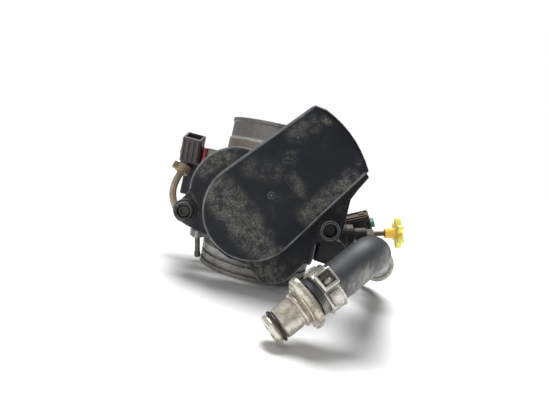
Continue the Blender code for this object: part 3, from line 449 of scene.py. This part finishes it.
def frame_matrix(at, along, across=None):
    """A placement in millimetres whose Z runs along one direction and whose X leans towards another.

    With no second direction, X leans towards the frame's own X, or its Y when Z is close to X.
    """
    z = Vector(along).normalized()
    hint = Vector(across or ((1, 0, 0) if abs(z.x) < 0.9 else (0, 1, 0)))
    x = (hint - z * hint.dot(z)).normalized()
    turn = Matrix((x, z.cross(x), z)).transposed().to_4x4()
    return Matrix.Translation(Vector(at)) @ turn


def smooth_shade(mesh):
    mesh.shade_smooth()
    mesh.set_sharp_from_angle(angle=radians(SHARP_ANGLE))


def solid(name, bm, where, material):
    """An object from a mesh drawn in local millimetres."""
    bmesh.ops.recalc_face_normals(bm, faces=bm.faces)
    bm.transform(Matrix.Scale(MM, 4) @ where)
    mesh = bpy.data.meshes.new(name)
    bm.to_mesh(mesh)
    bm.free()
    smooth_shade(mesh)
    mesh.materials.append(material)
    return link(name, mesh)


def piece(name, bm, where, material, body="casting"):
    """A solid that rides on a body."""
    made = solid(name, bm, where, material)
    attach(made, body)
    return made


def cut(target, tool):
    """Cuts the tool out of the target, and removes the tool."""
    modifier = target.modifiers.new("cut", "BOOLEAN")
    modifier.operation = "DIFFERENCE"
    modifier.solver = "EXACT"
    modifier.object = tool
    bpy.context.view_layer.update()
    graph = bpy.context.evaluated_depsgraph_get()
    mesh = bpy.data.meshes.new_from_object(target.evaluated_get(graph))
    target.modifiers.clear()
    finish = target.data.materials[0]
    target.data = mesh
    mesh.materials.clear()
    mesh.materials.append(finish)
    smooth_shade(mesh)
    bpy.data.objects.remove(tool, do_unlink=True)


def turned(profile, steps):
    """A mesh turned about Z from a closed outline of (radius, height) points."""
    bm = bmesh.new()
    points = [bm.verts.new((radius, 0, height)) for radius, height in profile]
    edges = [bm.edges.new(pair) for pair in zip(points, points[1:] + points[:1])]
    bmesh.ops.spin(bm, geom=points + edges, cent=(0, 0, 0), axis=(0, 0, 1), angle=2 * pi, steps=steps)
    bmesh.ops.remove_doubles(bm, verts=bm.verts, dist=1e-4)
    bmesh.ops.dissolve_degenerate(bm, edges=bm.edges, dist=1e-5)
    return bm


def block(size, centre, round_mm, segments=3, into=None):
    """A box with rounded edges, added to a mesh if one is given."""
    bm = into or bmesh.new()
    made = bmesh.ops.create_cube(bm, size=1.0)["verts"]
    bmesh.ops.scale(bm, vec=size, verts=made)
    bmesh.ops.translate(bm, vec=centre, verts=made)
    edges = list({edge for vert in made for edge in vert.link_edges})
    bmesh.ops.bevel(bm, geom=edges, offset=round_mm, segments=segments, profile=0.5, affect="EDGES")
    return bm


def many(blocks):
    """One mesh of several boxes, each (size, centre, rounding)."""
    bm = bmesh.new()
    for size, centre, round_mm in blocks:
        block(size, centre, round_mm, 2, bm)
    return bm


def slab(outline, low, high, round_mm, segments):
    """An outline raised along Z, with both rims rounded."""
    bm = bmesh.new()
    face = bm.faces.new([bm.verts.new((x, y, low)) for x, y in outline])
    grown = bmesh.ops.extrude_face_region(bm, geom=[face])
    raised = [item for item in grown["geom"] if isinstance(item, bmesh.types.BMVert)]
    bmesh.ops.translate(bm, vec=(0, 0, high - low), verts=raised)
    rims = [e for e in bm.edges if abs(e.verts[0].co.z - e.verts[1].co.z) < 1e-6]
    bmesh.ops.bevel(bm, geom=rims, offset=round_mm, segments=segments, profile=0.5, affect="EDGES")
    return bm


def arc(centre, radius, start, stop, steps):
    """Points on an arc from one angle to another, in degrees, both ends included."""
    turns = [radians(start + (stop - start) * i / steps) for i in range(steps + 1)]
    return [(centre[0] + radius * cos(a), centre[1] + radius * sin(a)) for a in turns]


def tube(name, points, radius, material, resolution, closed=False):
    """A round cord along a path, with flat ends unless it is closed."""
    curve = bpy.data.curves.new(name, "CURVE")
    curve.dimensions = "3D"
    curve.bevel_depth = radius * MM
    curve.bevel_resolution = resolution
    curve.use_fill_caps = not closed
    spline = curve.splines.new("POLY")
    spline.points.add(len(points) - 1)
    spline.use_cyclic_u = closed
    for knot, point in zip(spline.points, points):
        knot.co = (*(Vector(point) * MM), 1.0)
    curve.materials.append(material)
    made = link(name, curve)
    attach(made, "casting")
    return made


def bead(name, points, radius, material, closed=False):
    """A thin raised line along a path on the cover."""
    made = tube(name, points, radius, material, 3, closed)


# ---------------------------------------------------------------- hose clamps

# From_joint and from_elbow say how far the clamp's middle is from that end of the hose, and ear is the way
# its ear points. The front clamp stands 1.2 mm nearer the joint than its CAD band does, and the rear one is
# thicker by its swell, because the photo shows them so.
CLAMP_FRONT = {"from_joint": 6.3 - 1.2, "half_width": 2.8, "ear": (-0.25, -0.85, 0.45), "swell": 0.0}
CLAMP_REAR = {"from_elbow": 8.3, "half_width": 3.6, "ear": (-0.7, 0, 0.7), "swell": 0.35}
BAND_INNER_R = HOSE_R + 0.08
BAND_OUTER_R = HOSE_R + 0.9
BAND_LIP = 0.28
EAR_TALL, EAR_LONG = 3.4, 5.8
EAR_DEPTH = 2.9
STRAP_THICK = 0.42
STRAP_FROM, STRAP_TURN = 28, 44
HOOK_ANGLE = -62


def hose_at(clamp):
    """The centre of a clamp, and the hose's direction there, away from the end it is measured from."""
    path = smooth_route(HOSE_ROUTE, HOSE_STEPS)
    if "from_joint" in clamp:
        path.reverse()
    left = clamp.get("from_joint", clamp.get("from_elbow"))
    for start, end in zip(path, path[1:]):
        span = (end - start).length
        if left <= span:
            return start + (end - start) * (left / span), (end - start).normalized()
        left -= span


def band_profile(outer, half_width):
    """A clamp band's section, as (radius, height) points: flat, with a rolled lip along each edge."""
    lip = outer + BAND_LIP
    return [
        (BAND_INNER_R, -half_width), (lip - 0.1, -half_width), (lip, -half_width + 0.2),
        (lip - 0.05, -half_width + 0.55), (outer, -half_width + 0.9), (outer, half_width - 0.9),
        (lip - 0.05, half_width - 0.55), (lip, half_width - 0.2), (lip - 0.1, half_width),
        (BAND_INNER_R, half_width),
    ]


def ear_mesh(outer, half_width):
    """The ear: a rounded block with a deep window in its top."""
    bm = block((EAR_TALL, EAR_LONG, 2 * half_width + 0.2), (outer + 1.5, 0, 0), 0.55, 4)
    # The top is the outermost face, and the widest one at that height.
    top = max(bm.faces, key=lambda face: face.calc_center_median().x * 100 + face.calc_area())
    bmesh.ops.inset_region(bm, faces=[top], thickness=0.35, depth=0.0)
    bmesh.ops.inset_region(bm, faces=[top], thickness=0.12, depth=-EAR_DEPTH)
    return bm


def dimple_mesh(outer, half_width):
    """The pinched bulge in the ear's window."""
    bm = bmesh.new()
    bmesh.ops.create_uvsphere(bm, u_segments=24, v_segments=12, radius=1.0)
    bmesh.ops.scale(bm, verts=bm.verts, vec=(2.3, 1.9, half_width * 0.9))
    bmesh.ops.translate(bm, verts=bm.verts, vec=(outer - 0.2, 0.75, 0.45))
    return bm


def strap_mesh(outer, half_width):
    """The band's overlapping end, which tapers to its tip."""
    bm = bmesh.new()
    steps = 14
    low, high = outer - 0.05, outer + STRAP_THICK
    rings = []
    for i in range(steps + 1):
        angle = radians(STRAP_FROM + STRAP_TURN * i / steps)
        side = half_width - 1.1 - 0.5 * (i / steps) ** 3
        section = ((low, -side), (high, -side), (high, side), (low, side))
        rings.append([bm.verts.new((radius * cos(angle), radius * sin(angle), z)) for radius, z in section])
    for first, second in zip(rings, rings[1:]):
        for k in range(4):
            bm.faces.new((first[k], first[(k + 1) % 4], second[(k + 1) % 4], second[k]))
    bm.faces.new(rings[0])
    bm.faces.new(rings[-1])
    return bm


def make_clamp(node, clamp, metal):
    """A stainless band with rolled edges, an overlapping end, and a raised ear with a deep window."""
    centre, direction = hose_at(clamp)
    where = frame_matrix(centre, direction, clamp["ear"])
    half_width = clamp["half_width"]
    outer = BAND_OUTER_R + clamp["swell"]
    band = piece(node + "_band", turned(band_profile(outer, half_width), 64), where, metal)
    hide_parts(node)
    ear = piece(node + "_ear", ear_mesh(outer, half_width), where, metal)
    dimple = piece(node + "_dimple", dimple_mesh(outer, half_width), where, metal)
    strap = piece(node + "_strap", strap_mesh(outer, half_width), where, metal)
    tab = block((1.1, 1.5, half_width * 0.9), (outer + 0.3, 0, 0), 0.25)
    aside = where @ Matrix.Rotation(radians(HOOK_ANGLE), 4, "Z")
    hook = piece(node + "_hook", tab, aside, metal)
    return [band, ear, dimple, strap, hook]


# ---------------------------------------------------------------- fuel joint

JOINT_AT = Vector(HOSE_ROUTE[-1])
JOINT_AXIS = Vector((-0.667, -0.330, -0.668)).normalized()
FLANGE_LONG = (0.659, 0.265, -0.704)
FLANGE_R = 8.0
FLANGE_LOBE_R = 3.25
FLANGE_LOBE_AT = 6.2
FLANGE_HOLE_AT = 7.3
SEAL_MIDDLE = (4.7, 13.8)
SEAL_HALF = (0.5, 0.55)

# The joint's outline as (radius, height): collar, ribs, neck, nose with the seal's groove, then the bore
JOINT_PROFILE = (
    (2.6, 0.3), (5.5, 0.3), (5.6, 0.5), (5.6, 0.8), (6.5, 0.9), (7.2, 1.3), (7.45, 1.9), (7.45, 2.2),
    (7.2, 2.8), (7.45, 3.3), (7.3, 3.7), (6.5, 4.0), (6.4, 4.3), (5.4, 4.45), (5.2, 4.7), (5.2, 5.1),
    (5.65, 5.3), (5.7, 5.5), (5.7, 5.9), (5.55, 6.1), (4.8, 6.3), (4.75, 7.2), (4.95, 7.4), (4.95, 12.5),
    (4.75, 12.75), (4.15, 12.8), (4.15, 14.8), (4.75, 14.85), (4.9, 15.1), (4.85, 15.7), (4.4, 16.4),
    (3.9, 16.5), (2.7, 16.5), (2.5, 16.2), (2.4, 13.5), (2.4, 4.0),
)
SCREW_HOLE = ((0.01, -1), (1.15, -1), (1.15, 3.2), (1.7, 3.9), (1.7, 6), (0.01, 6))


def make_joint(metal, seal):
    """A flanged plug with two lobes, a stepped nose and a seal in its groove."""
    where = frame_matrix(JOINT_AT, JOINT_AXIS, FLANGE_LONG)
    nose = piece("fuel_joint_nose", turned(JOINT_PROFILE, 56), where, metal)
    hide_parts("fuel_joint")

    outline = arc((FLANGE_LOBE_AT, 0), FLANGE_LOBE_R, -62, 62, 12)
    outline += arc((0, 0), FLANGE_R, 52, 128, 12)
    outline += arc((-FLANGE_LOBE_AT, 0), FLANGE_LOBE_R, 118, 242, 12)
    outline += arc((0, 0), FLANGE_R, 232, 308, 12)
    flange = piece("fuel_joint_flange", slab(outline, 0.95, 3.75, 0.95, 4), where, metal)
    for side in (-1, 1):
        beside = where @ Matrix.Translation((side * FLANGE_HOLE_AT, 0, 0))
        cut(flange, solid("hole", turned(SCREW_HOLE, 20), beside, metal))

    turns = [2 * pi * i / 12 for i in range(12)]
    (radius, height), (wide, tall) = SEAL_MIDDLE, SEAL_HALF
    section = [(radius + wide * cos(a), height + tall * sin(a)) for a in turns]
    ring = piece("fuel_joint_seal", turned(section, 56), where, seal)
    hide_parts("joint_oring")
    return [nose, flange, ring]


# ---------------------------------------------------------------- knob

STARTER_FOOT = Vector((25.43, -2.0, 22.63))
STARTER_RISE = radians(15.0)
STARTER_AXIS = Vector((cos(STARTER_RISE), 0, sin(STARTER_RISE)))
KNOB_LOBES = 6
KNOB_ROOT_R = 4.1
KNOB_LOBE_R = 3.75
KNOB_DISH_R = 5.2
KNOB_STEPS = 96

# The wheel from its back to its face, as (share of the outline's radius, height along the rod)
KNOB_LEVELS = (
    (0.00, 39.9), (0.42, 41.3), (0.80, 41.25), (0.94, 41.45), (0.99, 41.9), (1.0, 42.8), (0.98, 43.7),
    (0.92, 44.2), (0.82, 44.35), (0.55, 44.0), (0.36, 43.5), (0.0, 43.4),
)
KNOB_HUB = (
    (1.6, 36.2), (2.2, 36.2), (2.45, 36.45), (2.5, 37.4), (2.35, 37.7), (2.55, 38.0), (2.6, 39.4),
    (2.9, 40.6), (3.4, 41.5), (1.6, 41.5),
)


def knob_radius(angle, share):
    """The knob's radius at an angle: lobed at its rim, and round near its middle."""
    lobe = 0.5 + 0.5 * cos(KNOB_LOBES * (angle - pi / 2))
    lobed = KNOB_ROOT_R + KNOB_LOBE_R * lobe**0.75
    rim = min(1.0, max(0.0, (share - 0.3) / 0.5))
    return share * (lobed * rim + KNOB_DISH_R * (1 - rim))


def make_knob(plastic):
    """Six crowned lobes round a dished centre, on a tapered hub."""
    turns = [2 * pi * i / KNOB_STEPS for i in range(KNOB_STEPS)]
    bm = bmesh.new()
    rings = []
    for share, height in KNOB_LEVELS:
        if share == 0.0:
            rings.append([bm.verts.new((0, 0, height))])
            continue
        flat = [(knob_radius(a, share) * cos(a), knob_radius(a, share) * sin(a)) for a in turns]
        rings.append([bm.verts.new((x, y, height)) for x, y in flat])
    for first, second in zip(rings, rings[1:]):
        for i in range(KNOB_STEPS):
            k = (i + 1) % KNOB_STEPS
            corners = [ring[n % len(ring)] for ring, n in ((first, i), (first, k), (second, k), (second, i))]
            bm.faces.new(list(dict.fromkeys(corners)))
    where = frame_matrix(STARTER_FOOT, STARTER_AXIS)
    wheel = piece("knob_wheel", bm, where, plastic, "knob")
    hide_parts("starter_knob")
    piece("knob_hub", turned(KNOB_HUB, 40), where, plastic, "knob")


# ---------------------------------------------------------------- small details

SOCKET_MOUTH = Vector((-39.7, -8.9, 58.0))
SOCKET_AXIS = Vector((0.04, -0.34, 0.94)).normalized()
SOCKET_HALF = 4.5
FOOT_AT = (-42.5, -7.0, 44.0)
INJECTOR_WAY = Vector((cos(radians(20)), sin(radians(20)), 0))
INJECTOR_AXIS = INJECTOR_WAY * cos(radians(60)) - Vector((0, 0, sin(radians(60))))
INJECTOR_AT = INJECTOR_WAY * 38.0 + Vector((0, 0, 27.5))
CONNECTOR_AXIS = Vector((0.881, -0.148, 0.449)).normalized()
CONNECTOR_MOUTH = INJECTOR_AT + INJECTOR_AXIS * 1.4 + CONNECTOR_AXIS * 20.9
POSITION_MOUTH = Vector((-3.0, 35.9, 13.5))


def make_socket_details(plastic, injector_plastic, dark, pins):
    """Ribs, latches and contact pins of the three electrical connectors, and the pressure sensor's foot."""
    where = frame_matrix(SOCKET_MOUTH, SOCKET_AXIS, (1, 0, 0))
    front = -SOCKET_HALF - 0.15
    ribs = [((0.8, 0.7, 10.4), (x, front, -6.0), 0.25) for x in (-3.6, -1.3, 1.0, 3.3)]
    ribs += [((9.3, 9.3, 0.9), (0, 0, -11.4), 0.2)]
    ribs += [((0.7, 0.8, 9.0), (-SOCKET_HALF - 0.1, y, -6.2), 0.25) for y in (-2.0, 1.6)]
    piece("pressure_sensor_ribs", many(ribs), where, plastic)
    blades = [((0.7, 0.5, 5.2), (x, 0.2, -6.8), 0.1) for x in (-2.1, 0, 2.1)]
    piece("pressure_sensor_pins", many(blades), where, pins)
    foot = [((3.8, 3.4, 3.8), FOOT_AT, 0.5)]
    piece("pressure_sensor_foot", many(foot), Matrix(), plastic)

    where = frame_matrix(CONNECTOR_MOUTH, CONNECTOR_AXIS, INJECTOR_AXIS)
    rails = [((0.9, 1.3, 15.5), (-4.7, y, -8.6), 0.3) for y in (-3.4, 3.4)]
    rails += [((1.0, 3.2, 2.6), (-4.8, 0, -3.6), 0.3), ((0.5, 9.4, 1.2), (-4.5, 0, -15.2), 0.2)]
    rails += [((7.0, 0.6, 13.0), (0.3, -5.15, -8.8), 0.2), ((1.0, 0.5, 16.0), (-2.6, -5.2, -8.4), 0.2)]
    rails += [((9.2, 10.4, 0.9), (0, 0, -0.75), 0.25)]
    piece("injector_rails", many(rails), where, injector_plastic)

    where = frame_matrix(POSITION_MOUTH, (0, 0, -1), (1, 0, 0))
    rails = [((0.8, 0.6, 12.0), (x, y, -7.4), 0.2) for x in (-3.4, 0, 3.4) for y in (-4.65, 4.65)]
    piece("position_sensor_ribs", many(rails), where, dark)
    blades = [((0.7, 0.5, 5.2), (x, 0, -6.8), 0.1) for x in (-2.2, 0, 2.2)]
    piece("position_sensor_pins", many(blades), where, pins)


# ---------------------------------------------------------------- cover, with its points in X and Z

COVER_FRONT_Y = -46.0
ROUND_END = (-3.6, 33.0)
ROUND_R = 20.0
DUCT_TOP = (11.6, 79.6)
DUCT_LOW = (37.2, 58.6)
PANEL_RIM_INSET = 0.75
PANEL_RIM_SUNK = 0.28
RIM_R = 0.42
SKIRT_RIM_R = 0.3
EAR_RIM_R = 0.2
RIM_SUNK = 0.1
LOBE = (-12.0, 38.0)
LOBE_R = 19.3
LOBE_Y = -38.8
SKIRT_MIDDLE = Vector((12.0, 14.0))
SKIRT_EDGE = (
    (1.1, 8.1), (4.7, 4.4), (6.8, 3.8), (11.3, 4.6), (15.6, 6.7), (17.9, 9.4), (20.4, 13.4), (22.0, 16.0),
    (24.2, 16.4), (24.7, 19.0), (24.6, 25.3),
)
RIGHT_EAR = (28.6, 32.0)
LABEL_START, LABEL_END = (-15.0, 36.2), (-0.9, 25.7)
MARK_AT = (2.3, 41.2)


def on_cover(x, z):
    return (x, COVER_FRONT_Y, z)


def make_cover_rims(worn):
    """Thin beads along the cover's raised edges, in a pale plastic that paints the highlight along those
    edges, with some wear.
    """
    round_end = [Vector(point) for point in arc(ROUND_END, ROUND_R - PANEL_RIM_INSET, 137, 325, 44)]
    down = (round_end[0] - Vector(DUCT_TOP)).normalized()
    top = Vector(DUCT_TOP) + down * 2.6 + Vector((-down.y, down.x)) * PANEL_RIM_INSET
    low = Vector(DUCT_LOW) + (round_end[-1] - Vector(DUCT_LOW)).normalized() * 1.6
    low += Vector((low.y - round_end[-1].y, round_end[-1].x - low.x)).normalized() * -PANEL_RIM_INSET
    panel = [(point.x, COVER_FRONT_Y + PANEL_RIM_SUNK, point.y) for point in [top, *round_end, low]]
    bead("cover_panel_rim", panel, RIM_R, worn)
    lobe = arc(LOBE, LOBE_R - 0.55, 82, 186, 30)
    bead("cover_lobe_rim", [(x, LOBE_Y + RIM_SUNK, z) for x, z in lobe], RIM_R, worn)
    edge = [Vector(point) for point in SKIRT_EDGE]
    skirt = [point + (SKIRT_MIDDLE - point).normalized() * 0.5 for point in edge]
    bead("cover_skirt_rim", [(point.x, LOBE_Y + RIM_SUNK, point.y) for point in skirt], SKIRT_RIM_R, worn)
    for name, radius, front in (("outer", 3.9, -40.95), ("inner", 3.15, -40.9)):
        ring = arc(RIGHT_EAR, radius, 0, 350, 35)
        bead(f"cover_ear_{name}_rim", [(x, front, z) for x, z in ring], EAR_RIM_R, worn, True)


def make_cover_marks(plastic, worn):
    """A raised label of three ribs and a row of dots, and a small ring with a centre point."""
    first, last = Vector(on_cover(*LABEL_START)), Vector(on_cover(*LABEL_END))
    along = (last - first).normalized()
    across = Vector((along.z, 0, -along.x))
    # Each rib is (how far aside, start, end, radius)
    ribs = ((0.0, 0.0, 17.6, 0.3), (2.6, 1.5, 16.8, 0.17), (-2.4, 2.2, 15.0, 0.17))
    for number, (aside, start, end, radius) in enumerate(ribs):
        ends = [first + across * aside + along * reach for reach in (start, end)]
        bead(f"cover_label_rib_{number}", ends, radius, plastic)
    for name, radius, thick in (("cover_mark_ring", 1.35, 0.13), ("cover_mark_point", 0.35, 0.22)):
        bead(name, [on_cover(x, z) for x, z in arc(MARK_AT, radius, 0, 345, 23)], thick, worn, True)
    middles = [first + across * 1.3 + along * (3.2 + 1.5 * i) for i in range(8)]
    dots = many([((0.5, 0.3, 0.5), middle, 0.1) for middle in middles])
    piece("cover_label_dots", dots, Matrix(), plastic)


# ---------------------------------------------------------------- hose

def make_hose(rubber):
    points = smooth_route(HOSE_ROUTE, HOSE_STEPS)
    hose = tube("fuel_hose_sleeve", points, HOSE_R, rubber, 8)
    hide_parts("fuel_hose")


# ---------------------------------------------------------------- finishes of the carried-over nodes

# Dust on the cover, as moulded_plastic's patches
COVER_PATCHES = (
    ((-18, -46, 38), (0, -46, 23), 3.0, 9.5, 0.80),
    ((-15, -46, 36.2), (-0.9, -46, 25.7), 0.3, 2.2, 0.75),
    ((4, -46, 17.5), (10, -46, 19.5), 0.8, 4.0, 0.85),
    ((18, -46, 37), (31, -46, 54), 1.0, 6.0, 0.72),
    ((8, -46, 50), (14, -46, 45), 0.4, 3.6, 0.5),
    ((-8, -46, 50), (2, -46, 50), 0.5, 6.0, 0.3),
    ((6, -46, 67), (11, -46, 71), 1.0, 6.0, 0.38),
    ((15, -46, 74.5), (18, -46, 73.0), 0.3, 1.8, 0.7),
    ((-26, -38.8, 47), (-19, -38.8, 54), 1.5, 8.0, 0.80),
    ((2, -38.8, 12), (10, -38.8, 7), 2.5, 9.5, 0.80),
    ((-31, -40, 30), (-31, -40, 22), 2.0, 6.0, 0.4),
)
LABEL_PATCHES = (((-15, -46, 36.2), (0, -46, 25), 2, 8, 0.9),)
SENSOR_PATCHES = (((-40, -8, 52), (-40, -6, 44), 3, 9, 0.45),)

# Going up the casting: stained above its foot, a painted highlight along the ledge under the upper spigot,
# then the spigot
CASTING_TONES = (
    (20, 26, (0.21, 0.19, 0.155)),
    # Painted highlight along the ledge
    (61.0, 61.3, (0.42, 0.41, 0.38)),
    (62.2, 62.8, (0.165, 0.162, 0.157)),
)


def paint_metals():
    return {
        "aluminium": cast_metal(
            "cast_aluminium", (0.36, 0.355, 0.345), (0.22, 0.215, 0.205), stain_and_shade=(0.085, 0.072, 0.050),
            stain_and_shade_share=0.8, rough=(0.40, 0.62), metallic=0.6, seed=1.0, tones=CASTING_TONES),
        "steel": cast_metal(
            "plated_steel", (0.46, 0.45, 0.42), (0.36, 0.35, 0.31), stain_and_shade=(0.16, 0.12, 0.08),
            stain_and_shade_share=0.6, rough=(0.28, 0.5), metallic=0.9, seed=2.0),
        # The clamp's dark corner colour is mostly painted shade, darkening the inside of the ear's window
        "clamp": cast_metal(
            "clamp_steel", (0.66, 0.65, 0.61), (0.50, 0.48, 0.43), stain_and_shade=(0.11, 0.09, 0.07),
            stain_and_shade_share=0.95, rough=(0.24, 0.44), metallic=0.8, seed=3.0,
            streak=((0.9, 0.9, 1.6), (0.22, 0.20, 0.17), 0.5)),
        "zinc": cast_metal(
            "pale_zinc", (0.72, 0.70, 0.62), (0.52, 0.49, 0.41), stain_and_shade=(0.21, 0.13, 0.06),
            stain_and_shade_share=0.85, rough=(0.26, 0.48), metallic=0.65, seed=4.0,
            streak=((0.9, 1.5, 0.9), (0.34, 0.28, 0.20), 0.6)),
        "brass": cast_metal(
            "tarnished_brass", (0.36, 0.28, 0.15), (0.26, 0.20, 0.11), stain_and_shade=(0.10, 0.08, 0.05),
            stain_and_shade_share=0.6, rough=(0.35, 0.6), metallic=0.85, seed=5.0),
        "bronze": cast_metal(
            "bronze", (0.45, 0.30, 0.15), (0.36, 0.23, 0.11), stain_and_shade=(0.12, 0.08, 0.05),
            stain_and_shade_share=0.4, rough=(0.35, 0.55), metallic=0.9, seed=6.0),
        "olive": cast_metal(
            "olive_plating", (0.10, 0.085, 0.045), (0.07, 0.06, 0.035), stain_and_shade=(0.16, 0.13, 0.08),
            stain_and_shade_share=0.5, rough=(0.4, 0.6), metallic=0.5, seed=7.0),
        "clip": cast_metal(
            "dusty_clip", (0.36, 0.28, 0.19), (0.27, 0.20, 0.13), stain_and_shade=(0.14, 0.10, 0.07),
            stain_and_shade_share=0.5, rough=(0.5, 0.7), metallic=0.3, seed=8.0),
        "dark_steel": cast_metal(
            "dark_steel", (0.030, 0.030, 0.031), (0.018, 0.018, 0.019), stain_and_shade=(0.09, 0.08, 0.06),
            stain_and_shade_share=0.7, rough=(0.45, 0.65), metallic=0.5, seed=9.0),
        "nipple": cast_metal(
            "dull_stub", (0.16, 0.155, 0.14), (0.11, 0.105, 0.095), stain_and_shade=(0.05, 0.045, 0.04),
            stain_and_shade_share=0.7, rough=(0.5, 0.7), metallic=0.3, seed=25.0),
    }


def paint_plastics():
    return {
        "cover": moulded_plastic(
            "cover_plastic", (0.0032, 0.0042, 0.0080), (0.0075, 0.0092, 0.0135), dust=0.30,
            rough=(0.40, 0.62), gloss=0.24, seed=11.0, patches=COVER_PATCHES, settled=0.35,
            # rim paints a highlight on faces that look up and to the left, along the panel's bevel
            rim=(-0.60, -0.50, 0.62), dust_colour=(0.235, 0.220, 0.175)),
        # Pale plastic for the cover's rim beads: painted highlight along the rims, with some wear; the small
        # mark uses it too
        "worn": moulded_plastic(
            "rim_wear_and_highlight", (0.060, 0.066, 0.075), (0.200, 0.212, 0.225), dust=0.3,
            rough=(0.38, 0.55), gloss=0.4, seed=23.0, settled=0.25),
        "label": moulded_plastic(
            "dusty_label", (0.060, 0.058, 0.048), (0.20, 0.185, 0.135), dust=0.8,
            rough=(0.5, 0.7), gloss=0.2, seed=24.0, patches=LABEL_PATCHES),
        "sensor": moulded_plastic(
            "sensor_plastic", (0.028, 0.022, 0.028), (0.06, 0.048, 0.045), dust=0.7,
            rough=(0.38, 0.62), gloss=0.4, seed=12.0, patches=SENSOR_PATCHES, settled=0.3),
        "injector": moulded_plastic(
            "injector_plastic", (0.016, 0.014, 0.017), (0.035, 0.028, 0.026), dust=0.5,
            rough=(0.42, 0.65), gloss=0.3, seed=20.0, settled=0.75, dust_colour=(0.155, 0.115, 0.085)),
        "dark": moulded_plastic(
            "dark_plastic", (0.010, 0.010, 0.011), (0.022, 0.020, 0.018), dust=0.45,
            rough=(0.40, 0.62), gloss=0.3, seed=13.0, settled=0.35),
        "yellow": knob_plastic(),
    }


def paint_rubbers():
    return {
        "black": soft_rubber("black_rubber", (0.012, 0.012, 0.013), (0.02, 0.02, 0.02), (0.35, 0.5), 15.0),
        "red": soft_rubber("red_rubber", (0.62, 0.09, 0.12), (0.5, 0.06, 0.09), (0.4, 0.6), 16.0),
        "teal": soft_rubber("teal_rubber", (0.11, 0.28, 0.26), (0.17, 0.38, 0.36), (0.35, 0.5), 17.0),
        "tan": soft_rubber("tan_rubber", (0.30, 0.235, 0.165), (0.38, 0.31, 0.24), (0.5, 0.7), 18.0, 0.4),
        "hose": hose_sleeve(),
    }


MADE_OF = {
    "aluminium": ("throttle_body",),
    "steel": (
        "throttle_shaft", "plate_screw_front", "plate_screw_rear", "pulley_washer", "pulley_nut",
        "bracket_screw_upper", "bracket_screw_lower", "pressure_screw", "starter_nut",
        "position_screw_left", "position_screw_right", "pipe_screw", "return_spring", "starter_spring",
    ),
    "dark_steel": ("cover_screw_left", "cover_screw_right"),
    "clamp": ("hose_clamp_front", "hose_clamp_rear"),
    "zinc": ("fuel_joint", "throttle_pulley", "cable_bracket"),
    "brass": ("throttle_plate", "hose_nipple"),
    "bronze": ("shaft_bush_front", "shaft_bush_rear"),
    "olive": ("starter_rod",),
    "clip": ("hose_clip",),
    "nipple": ("drain_nipple",),
    "cover": ("pulley_cover",),
    "sensor": ("pressure_sensor",),
    "injector": ("fuel_injector",),
    "dark": ("position_sensor", "sensor_rotor", "fuel_pipe", "starter_housing", "bypass_cover"),
    "yellow": ("starter_knob",),
    "black": (
        "shaft_seal_front", "shaft_seal_rear", "joint_oring", "injector_oring_lower", "injector_oring_upper",
    ),
    "red": ("sensor_gasket",),
    "teal": ("connector_seal",),
    "tan": ("vacuum_hose",),
}


def paint_nodes():
    """Makes every material, gives each CAD node its own, and returns them by name."""
    look = paint_metals() | paint_plastics() | paint_rubbers()
    for finish, names in MADE_OF.items():
        for name in names:
            coat(name, look[finish])
    return look


def make_pieces():
    look = paint_nodes()
    on_hose = make_clamp("hose_clamp_front", CLAMP_FRONT, look["clamp"])
    on_hose += make_clamp("hose_clamp_rear", CLAMP_REAR, look["clamp"])
    on_hose += make_joint(look["zinc"], look["black"])
    make_hose(look["hose"])
    make_knob(look["yellow"])
    make_socket_details(look["sensor"], look["injector"], look["dark"], look["brass"])
    # The rim beads' pale plastic paints the highlight along the cover's rims
    make_cover_rims(look["worn"])
    make_cover_marks(look["label"], look["worn"])


make_stage()
make_pieces()
